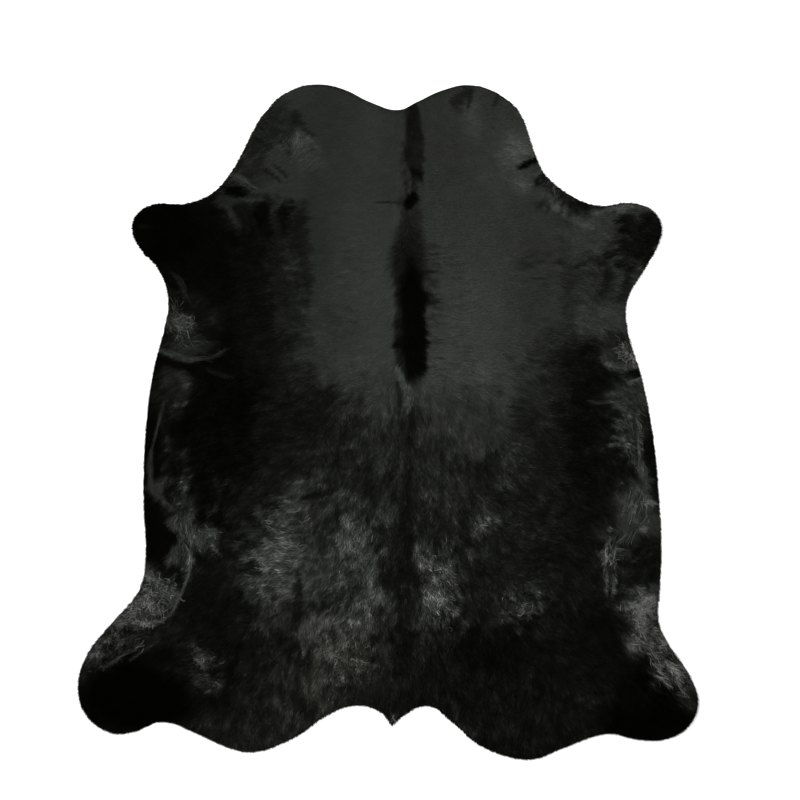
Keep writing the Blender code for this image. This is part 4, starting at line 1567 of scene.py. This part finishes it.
@dataclass
class HideSkin:
    """The tanned skin: a thin sheet with the nap of the hair on top and suede underneath.

    Attributes:
        outline: The hide's cut edge, which the hair laps over.
        form: How it stands off the floor.
        coat: The tone of the nap between the locks.
        lap: How far inside the outline the leather ends.
        cell: The spacing of the first cuts.
        rounds: How many times the cells are halved.
        whole: The share of a cell's area under which a piece of one is cut into triangles.
    """

    outline: Outline
    form: Form
    coat: Coat
    lap: float = 0.003
    cell: float = 0.052
    rounds: int = 2
    whole: float = 0.98

    def blank(self) -> bmesh.types.BMesh:
        """The skin as one flat face inside its cut edge.

        Returns:
            The mesh, a single face set in from the cut edge by the lap.
        """
        flat = bmesh.new()
        face = flat.faces.new([flat.verts.new((*spot, 0.0)) for spot in self.outline.spots])
        face.normal_update()
        if face.normal.z < 0:
            face.normal_flip()
        bmesh.ops.inset_region(flat, faces=[face], thickness=self.lap, use_boundary=True)
        outer = [face for face in flat.faces if any(vert.is_boundary for vert in face.verts)]
        bmesh.ops.delete(flat, geom=outer, context="FACES")
        bmesh.ops.remove_doubles(flat, verts=flat.verts, dist=self.lap)
        return flat

    def cut(self, flat: bmesh.types.BMesh) -> None:
        """Cuts the blank into square cells, and those along its edge into triangles.

        Args:
            flat: The blank.
        """
        chart = self.outline.chart
        for normal, reach in (((1, 0, 0), chart.half_width), ((0, 1, 0), chart.half_length)):
            for step in range(-int(reach / self.cell), int(reach / self.cell) + 1):
                geom = [*flat.verts, *flat.edges, *flat.faces]
                place = Vector(normal) * (step * self.cell)
                bmesh.ops.bisect_plane(
                    flat, geom=geom, dist=0.001, plane_co=place, plane_no=normal, use_snap_center=True
                )
        whole = self.whole * self.cell**2
        uneven = [face for face in flat.faces if len(face.verts) > 4 or face.calc_area() < whole]
        bmesh.ops.triangulate(flat, faces=uneven, quad_method="BEAUTY", ngon_method="BEAUTY")

    def build(self) -> Object:
        """Cuts, lifts and thickens the skin, and gives it its finishes.

        Returns:
            The piece.
        """
        flat = self.blank()
        self.cut(flat)
        mesh = bpy.data.meshes.new("hide_skin")
        flat.to_mesh(mesh)
        flat.free()
        piece = new_piece("hide_skin", mesh)
        finer = piece.modifiers.new("finer", "SUBSURF")
        finer.subdivision_type = "SIMPLE"
        finer.levels = self.rounds
        finer.render_levels = self.rounds
        graph = bpy.context.evaluated_depsgraph_get()
        fine = bpy.data.meshes.new_from_object(piece.evaluated_get(graph))
        piece.modifiers.clear()
        piece.data = fine
        bpy.data.meshes.remove(mesh)
        fine.name = "hide_skin"
        self.lift(fine)
        # The nap is painted darker than the locks, as shade between them.
        fine.materials.append(HairFinish("nap", depth=0.6, relief=0.0006).make())
        fine.materials.append(SuedeFinish().make())
        fine.shade_smooth()
        leather = piece.modifiers.new("leather", "SOLIDIFY")
        leather.thickness = self.form.skin
        leather.offset = 1.0
        leather.use_rim = True
        leather.material_offset = 1
        leather.material_offset_rim = 1
        return piece

    def lift(self, mesh: Mesh) -> None:
        """Raises the sheet along the hide's form and dresses it with the tone of the nap.

        Args:
            mesh: The sheet.
        """
        places = np.empty((len(mesh.vertices), 3), np.float32)
        mesh.vertices.foreach_get("co", places.ravel())
        places[:, 2] = self.form.lift_at(places[:, :2])
        mesh.vertices.foreach_set("co", places.ravel())
        mesh.update()
        self.coat.dress(mesh, self.coat.tone.at(places[:, :2]))


class Looseness(NamedTuple):
    """How much something varies from lock to lock: everywhere, with the grain, and where it is ruffled."""

    plain: float
    grain: float = 0.0
    ruffled: float = 0.0

    def at(self, grain: Array, ruffled: Array) -> Array:
        """How much it varies at each lock, from the grain and the ruffling there."""
        return self.plain + self.grain * grain + self.ruffled * ruffled


class Region(Enum):
    """The parts that the coat is made in, each from a y up to the next one's."""

    HIND = -1.20
    HIPS = -0.72
    LOIN = -0.42
    BARREL = -0.12
    RIBS = 0.20
    SHOULDERS = 0.52
    NECK = 0.80


@dataclass
class LockShape:
    """One flat lock of hair, a unit long along +Y and a unit wide at its root.

    Attributes:
        rows: How many lengths it is cut in.
        waist: Its width midway, as a share of its width at the root.
        points: Its points.
        faces: Its triangles, as rows of three of the points.
    """

    rows: int = 2
    waist: float = 0.85
    points: Array = field(init=False)
    faces: Array = field(init=False)

    def __post_init__(self) -> None:
        """Draws the far end of a strip to a point."""
        strip = bmesh.new()
        bmesh.ops.create_grid(strip, x_segments=1, y_segments=self.rows, size=0.5)
        bmesh.ops.translate(strip, verts=strip.verts, vec=(0.0, 0.5, 0.0))
        tip = [vert for vert in strip.verts if vert.co.y > 1 - 0.5 / self.rows]
        bmesh.ops.pointmerge(strip, verts=tip, merge_co=(0.0, 1.0, 0.0))
        for vert in strip.verts:
            vert.co.x *= 1 - 2 * (1 - self.waist) * vert.co.y
        bmesh.ops.triangulate(strip, faces=strip.faces)
        strip.verts.index_update()
        self.points = np.array([vert.co[:] for vert in strip.verts])
        self.faces = np.array([[vert.index for vert in face.verts] for face in strip.faces])
        strip.free()


@dataclass
class Hairs:
    """Hairs on the skin, all bent from one flat lock and joined in pieces.

    Attributes:
        outline: The hide's cut edge.
        form: How the hide stands off the floor.
        coat: The tone of the hair.
        margin: How far inside the cut edge a hair is rooted.
        overhang: How far past it a hair may reach.
        width: A hair's usual width at its root.
        rise: How high it usually stands over the skin.
        widths: Its width, from the least to the most, as shares of the usual one.
        lengths: Its length, in the same way.
        seed: The seed of the hairs' differences.
    """

    outline: Outline
    form: Form
    coat: Coat
    margin: float = 0.003
    overhang: float = 0.0030
    width: float = 0.0019
    rise: float = 0.0026
    widths: Reach = (0.7, 1.3)
    lengths: Reach = (0.75, 1.2)
    seed: int = 5

    def piece(self, name: str, shape: LockShape, points: Array, tone: Array, finish: Material) -> Object:
        """Joins hairs in one piece, whose map lies flat as seen from above.

        Args:
            name: The piece's name.
            shape: The lock that they are bent from.
            points: Their points, by hair.
            tone: The tone of each point, by hair.
            finish: Their finish.

        Returns:
            The piece.
        """
        firsts = np.arange(len(points)) * len(shape.points)
        loops = (shape.faces[None] + firsts[:, None, None]).ravel()
        points = points.reshape(-1, 3)
        mesh = bpy.data.meshes.new(name)
        mesh.vertices.add(len(points))
        mesh.vertices.foreach_set("co", points.astype(np.float32).ravel())
        mesh.loops.add(len(loops))
        mesh.loops.foreach_set("vertex_index", loops.astype(np.int32))
        mesh.polygons.add(len(loops) // 3)
        mesh.polygons.foreach_set("loop_start", np.arange(0, len(loops), 3, dtype=np.int32))
        mesh.update(calc_edges=True)
        mesh.shade_smooth()
        self.coat.dress(mesh, tone.ravel())
        low, high = points[:, :2].min(axis=0), points[:, :2].max(axis=0)
        share = ((points[:, :2] - low) / (high - low).max())[loops]
        mesh.uv_layers.new(name="OFBake").data.foreach_set("uv", share.astype(np.float32).ravel())
        mesh.materials.append(finish)
        LOG.info("%s: %d hairs, %d triangles", name, len(firsts), len(mesh.polygons))
        return new_piece(name, mesh)


@dataclass
class HairCoat(Hairs):
    """The hair: flat locks rooted all over the skin, in one piece for each region.

    Attributes:
        spacing: How far apart the roots are.
        length: A lock's usual length.
        shortest: The least share of its length that a lock keeps at the cut edge.
        rim: How far inside the cut edge the darker locks along it start to pale, and where they end.
        sinking: From how far inside the edge to how far outside it the locks sink towards the floor.
        droop: How much of its height a lock has lost there.
        rim_tone: The tone of the locks along the cut edge, as a share of the coat's.
        stray: How far a lock strays from the lie of the hair, in degrees.
        growth: A lock's length, as a share of the usual one.
        bow: How far a lock bows sideways, as a share of its length.
        roll: How far a lock is rolled to one side, as a share of its width.
        spread: How far the locks differ in tone.
    """

    spacing: float = 0.0036
    length: float = 0.017
    shortest: float = 0.25
    rim: Reach = (0.002, 0.011)
    sinking: Reach = (0.002, -0.006)
    droop: float = 0.7
    rim_tone: float = 0.70
    stray: Looseness = Looseness(2.5, 14.0, 22.0)
    growth: Looseness = Looseness(1.0, -0.25, 0.6)
    bow: Looseness = Looseness(0.04, ruffled=0.16)
    roll: Looseness = Looseness(0.03, grain=0.32)
    spread: Looseness = Looseness(0.02, 0.36, 0.25)

    def roots(self, random: Draws) -> Array:
        """Places the roots on a loose grid inside the cut edge.

        Args:
            random: The source of their differences.

        Returns:
            The roots' spots, one row each.
        """
        chart = self.outline.chart
        xs = np.arange(-chart.half_width, chart.half_width, self.spacing)
        ys = np.arange(-chart.half_length, chart.half_length, self.spacing)
        spots = np.stack(np.meshgrid(xs, ys), axis=-1).reshape(-1, 2)
        spots += random.uniform(-0.5, 0.5, spots.shape) * self.spacing
        return spots[self.outline.margin_at(spots) > self.margin]

    def build(self) -> list[Object]:
        """Grows the coat.

        Returns:
            One piece for each region.
        """
        random = np.random.default_rng(self.seed)
        roots = self.roots(random)
        shape, finish = LockShape(), HairFinish("dyed_hair").make()
        starts = [*(region.value for region in Region), math.inf]
        pieces = []
        for region, low, high in zip(Region, starts, starts[1:]):
            mine = roots[(roots[:, 1] >= low) & (roots[:, 1] < high)]
            points, tone = self.grow(mine, shape, random)
            pieces.append(self.piece(f"coat_{region.name.lower()}", shape, points, tone, finish))
        return pieces

    def grow(self, roots: Array, shape: LockShape, random: Draws) -> tuple[Array, Array]:
        """Grows the locks of one region.

        Args:
            roots: The locks' roots.
            shape: The lock before it is bent.
            random: The source of their differences.

        Returns:
            The locks' points and the tone of each point, by lock.
        """
        chart, coat_tone = self.outline.chart, self.coat.tone
        count = len(roots)
        along = chart.read(coat_tone.lie.along, roots)
        ruffled = chart.read(coat_tone.lie.ruffled, roots)
        grain = chart.read(coat_tone.grain, roots)
        stray = random.normal(0.0, 1.0, count) * np.radians(self.stray.at(grain, ruffled))
        along = direction(np.arctan2(along[:, 1], along[:, 0]) + stray)
        length = self.length * random.uniform(*self.lengths, count) * self.growth.at(grain, ruffled)
        length *= self.held_back(roots, along, length, random)
        bow = random.normal(0.0, 1.0, count) * self.bow.at(grain, ruffled)
        width = self.width * random.uniform(*self.widths, count)
        u, v = shape.points[:, 1], shape.points[:, 0]
        flat = roots[:, None] + along[:, None] * (length[:, None] * u)[..., None]
        side = width[:, None] * v + (bow * length)[:, None] * (4 * u * (1 - u) * 0.5 + u * u * 0.5)
        flat = flat + leftward(along)[:, None] * side[..., None]
        rough = np.minimum(0.15 + 1.4 * grain, 1.0)
        rise = self.rise * (0.9 + random.uniform(-0.6, 0.6, count) * rough) * (1.0 + 0.9 * ruffled)
        roll = random.normal(0.0, 1.0, count) * self.roll.at(grain, ruffled)
        droop = smooth_step(*self.sinking, self.outline.margin_at(flat)) * self.droop
        over_skin = self.form.skin * (1.0 - 0.15 * (1.0 - u)) + rise[:, None] * np.sqrt(u)
        height = self.form.lift_at(flat) + over_skin * (1.0 - droop) + (roll * width)[:, None] * v
        rim = smooth_step(*self.rim, self.outline.margin_at(roots))
        tone = coat_tone.at(roots) * np.exp(random.normal(0.0, 1.0, count) * self.spread.at(grain, ruffled))
        tone = tone * (self.rim_tone + (1.0 - self.rim_tone) * rim)
        tone = tone[:, None] * (1.0 + rough[:, None] * (0.30 * u - 0.20))
        return np.concatenate([flat, height[..., None]], axis=-1), tone

    def held_back(self, roots: Array, along: Array, length: Array, random: Draws) -> Array:
        """How much of its length each lock keeps, so that it reaches little past the cut edge.

        Args:
            roots: The locks' roots.
            along: The locks' directions.
            length: The locks' lengths.
            random: The source of their differences.

        Returns:
            The shares kept.
        """
        at_root = self.outline.margin_at(roots)
        at_tip = self.outline.margin_at(roots + along * length[:, None])
        allowed = self.overhang * random.uniform(-0.6, 1.0, len(roots))
        run = np.maximum(at_root - at_tip, 1e-6)
        share = np.where(at_tip < -allowed, (at_root + allowed) / run, 1.0)
        return np.clip(share, self.shortest, 1.0)


class Lock(NamedTuple):
    """What the hairs of one tuft or tress have in common. Curl is in degrees."""

    curl: float
    length: float
    lighter: float
    spread: float


@dataclass
class Curls(Hairs):
    """The longer curled hairs of the armpits, flanks, hocks and light patches, in one piece.

    They are finer than the locks of the coat, arch higher and may reach further past the edge.

    Attributes:
        arches: How high a hair arches, from the least to the most, as shares of the rise.
        waves: How many waves it has, from the least to the most.
        rows: How many lengths it is cut in.
        tress: What the hairs along a stroke have in common.
        tress_breadth: How far they stray to each side, as a share of the stroke's width.
        tress_stray: How far they stray from its direction, in degrees.
        tuft_spread: How far the hairs of a tuft differ in tone.
    """

    overhang: float = 0.006
    width: float = 0.0011
    rise: float = 0.0050
    widths: Reach = (0.7, 1.4)
    lengths: Reach = (0.6, 1.3)
    seed: int = 9
    arches: Reach = (0.5, 1.3)
    waves: Reach = (0.5, 1.1)
    rows: int = 6
    tress: Lock = Lock(curl=8.0, length=0.032, lighter=1.10, spread=0.12)
    tress_breadth: float = 0.22
    tress_stray: float = 6.0
    tuft_spread: float = 0.4

    def build(self) -> Object:
        """Grows every tuft.

        Returns:
            The piece.
        """
        shape = LockShape(self.rows, waist=0.8)
        grown = []
        for tuft in TUFTS:
            random = draws_for(self.seed, tuft.place)
            lock = Lock(tuft.curl, tuft.length, tuft.lighter, self.tuft_spread)
            grown.append(self.grow(*self.scattered(tuft, random), lock, shape, random))
        for stroke in STROKES:
            if stroke.hairs:
                random = draws_for(self.seed, stroke.place)
                grown.append(self.grow(*self.strung(stroke, random), self.tress, shape, random))
        points, tone = (np.concatenate(made) for made in zip(*grown))
        return self.piece("curls", shape, points, tone, HairFinish("curled_hair").make())

    def scattered(self, tuft: Tuft, random: Draws) -> tuple[Array, Array]:
        """Where the hairs of one tuft start and which way they head.

        Args:
            tuft: The tuft.
            random: The source of their differences.

        Returns:
            Their starts and their headings.
        """
        turn = math.radians(tuft.turn)
        u, v = random.normal(0.0, 0.5, (2, tuft.count)) * np.array([[tuft.half_width], [tuft.half_height]])
        x = tuft.x + u * math.cos(turn) - v * math.sin(turn)
        y = tuft.y + u * math.sin(turn) + v * math.cos(turn)
        heading = np.radians(random.normal(tuft.heading, tuft.stray, tuft.count))
        return np.stack([x, y], axis=-1), heading

    def strung(self, stroke: Stroke, random: Draws) -> tuple[Array, Array]:
        """Where the hairs along one stroke start and which way they head.

        Args:
            stroke: The stroke.
            random: The source of their differences.

        Returns:
            Their starts and their headings.
        """
        line = steered_line(stroke)
        share = random.uniform(0.0, 0.92, stroke.hairs) * (len(line) - 1)
        first = share.astype(int)
        run = line[first + 1] - line[first]
        stray = random.normal(0.0, math.radians(self.tress_stray), stroke.hairs)
        heading = np.arctan2(run[:, 1], run[:, 0]) + stray
        side = leftward(run) / np.hypot(run[:, 0], run[:, 1])[:, None]
        off = random.normal(0.0, self.tress_breadth * stroke.width, stroke.hairs)
        return line[first] + run * (share - first)[:, None] + side * off[:, None], heading

    def grow(
        self, starts: Array, heading: Array, lock: Lock, shape: LockShape, random: Draws
    ) -> tuple[Array, Array]:
        """Grows hairs, each in a soft S.

        Args:
            starts: Where they start.
            heading: Which way each heads.
            lock: What they have in common.
            shape: The hair before it is bent.
            random: The source of their differences.

        Returns:
            The hairs' points and the tone of each point, by hair.
        """
        count = len(starts)
        bend = np.radians(lock.curl) * random.normal(0.0, 0.6, count)
        phase, waves = random.uniform(0, 2 * np.pi, count), random.uniform(*self.waves, count)
        length = lock.length * random.uniform(*self.lengths, count)
        steps = (np.arange(self.rows) + 0.5) / self.rows
        sweep = np.sin(2 * np.pi * waves[:, None] * steps + phase[:, None])
        angle = heading[:, None] + bend[:, None] * sweep
        runs = direction(angle) * (length / self.rows)[:, None, None]
        path = np.concatenate([starts[:, None], starts[:, None] + np.cumsum(runs, axis=1)], axis=1)
        angle = np.concatenate([angle, angle[:, -1:]], axis=1)
        row = np.rint(shape.points[:, 1] * self.rows).astype(int)
        side = leftward(direction(angle))[:, row]
        width = self.width * random.uniform(*self.widths, count)
        flat = path[:, row] + side * (width[:, None] * shape.points[:, 0])[..., None]
        along = shape.points[:, 1]
        arch = self.rise * random.uniform(*self.arches, count)[:, None]
        arch = arch * (0.35 + 0.65 * np.sin(np.pi * along))
        height = self.form.lift_at(flat) + self.form.skin + arch
        tone = lock.lighter * self.coat.tone.at(path[:, 0])
        tone = tone * np.exp(random.normal(0.0, lock.spread, count))
        tone = tone[:, None] * (0.75 + 0.35 * along)
        reach = -self.overhang * random.uniform(0.0, 1.0, count)
        margin = self.outline.margin_at(path)
        kept = (margin.min(axis=1) > reach) & (margin[:, 0] > self.margin)
        return np.concatenate([flat, height[..., None]], axis=-1)[kept], tone[kept]


@dataclass
class Studio:
    """The pale floor, the soft light and the camera straight above.

    Attributes:
        aim: The spot that the camera looks down on.
        breadth: The breadth of floor that the picture takes in.
        height: The camera's height.
        sensor: The camera's sensor width in millimetres.
        floor_size: The floor's size.
        surround: The strength of the light from all round.
        key_power: The power of the large soft lamp, in watts.
        key_size: The lamp's size.
        key_spot: Where it hangs, turned to the middle of the hide.
    """

    aim: Spot = (0.039, 0.0716)
    breadth: float = 2.6035
    height: float = 9.0
    sensor: float = 36.0
    floor_size: float = 80.0
    surround: float = 1.0
    key_power: float = 260.0
    key_size: float = 3.5
    key_spot: tuple[float, float, float] = (-2.0, 2.2, 4.6)

    def build(self) -> None:
        """Makes the floor, the light and the camera."""
        self.lay_floor()
        self.light()
        self.set_camera()

    def lay_floor(self) -> None:
        """Makes the floor, which is no part of the rug."""
        plane = bmesh.new()
        bmesh.ops.create_grid(plane, x_segments=1, y_segments=1, size=self.floor_size / 2)
        mesh = bpy.data.meshes.new("floor")
        plane.to_mesh(mesh)
        plane.free()
        mesh.materials.append(FloorFinish().make())
        placed("floor", mesh)

    def light(self) -> None:
        """Lights the floor evenly, with one large soft lamp from the upper left."""
        scene = bpy.context.scene
        scene.view_settings.view_transform = "Standard"
        world = bpy.data.worlds.new("studio")
        world.use_nodes = True
        background = world.node_tree.nodes["Background"]
        background.inputs["Color"].default_value = (1.0, 1.0, 1.0, 1.0)
        background.inputs["Strength"].default_value = self.surround
        scene.world = world
        lamp = bpy.data.lights.new("key", "AREA")
        lamp.shape = "SQUARE"
        lamp.size = self.key_size
        lamp.energy = self.key_power
        key = placed("key", lamp)
        key.location = self.key_spot
        key.rotation_euler = (-key.location).to_track_quat("-Z", "Y").to_euler()

    def set_camera(self) -> None:
        """Puts a long lens straight above the hide."""
        data = bpy.data.cameras.new("camera")
        data.sensor_width = self.sensor
        data.lens = self.sensor * self.height / self.breadth
        data.clip_end = 100.0
        camera = placed("camera", data)
        camera.location = (*self.aim, self.height)
        bpy.context.scene.camera = camera


def main() -> None:
    """Builds the rug over its solid, then the studio round it."""
    logging.basicConfig(level=logging.INFO, format="%(name)s: %(message)s")
    for obj in list(bpy.data.objects):
        bpy.data.objects.remove(obj)
    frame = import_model()
    Studio().build()

    chart = Chart()
    outline = Outline(chart)
    outline.trace(frame["nodes"]["hide"])
    form = Form(chart)
    lie = Lie(chart)
    tone = Tone(chart, lie)
    coat = Coat(tone)
    skin = HideSkin(outline, form, coat).build()
    LOG.info("%s: %d faces before it is thickened", skin.name, len(skin.data.polygons))
    hair = HairCoat(outline, form, coat).build()
    hair.append(Curls(outline, form, coat).build())
    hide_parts("hide")


if __name__ == "__main__":
    main()
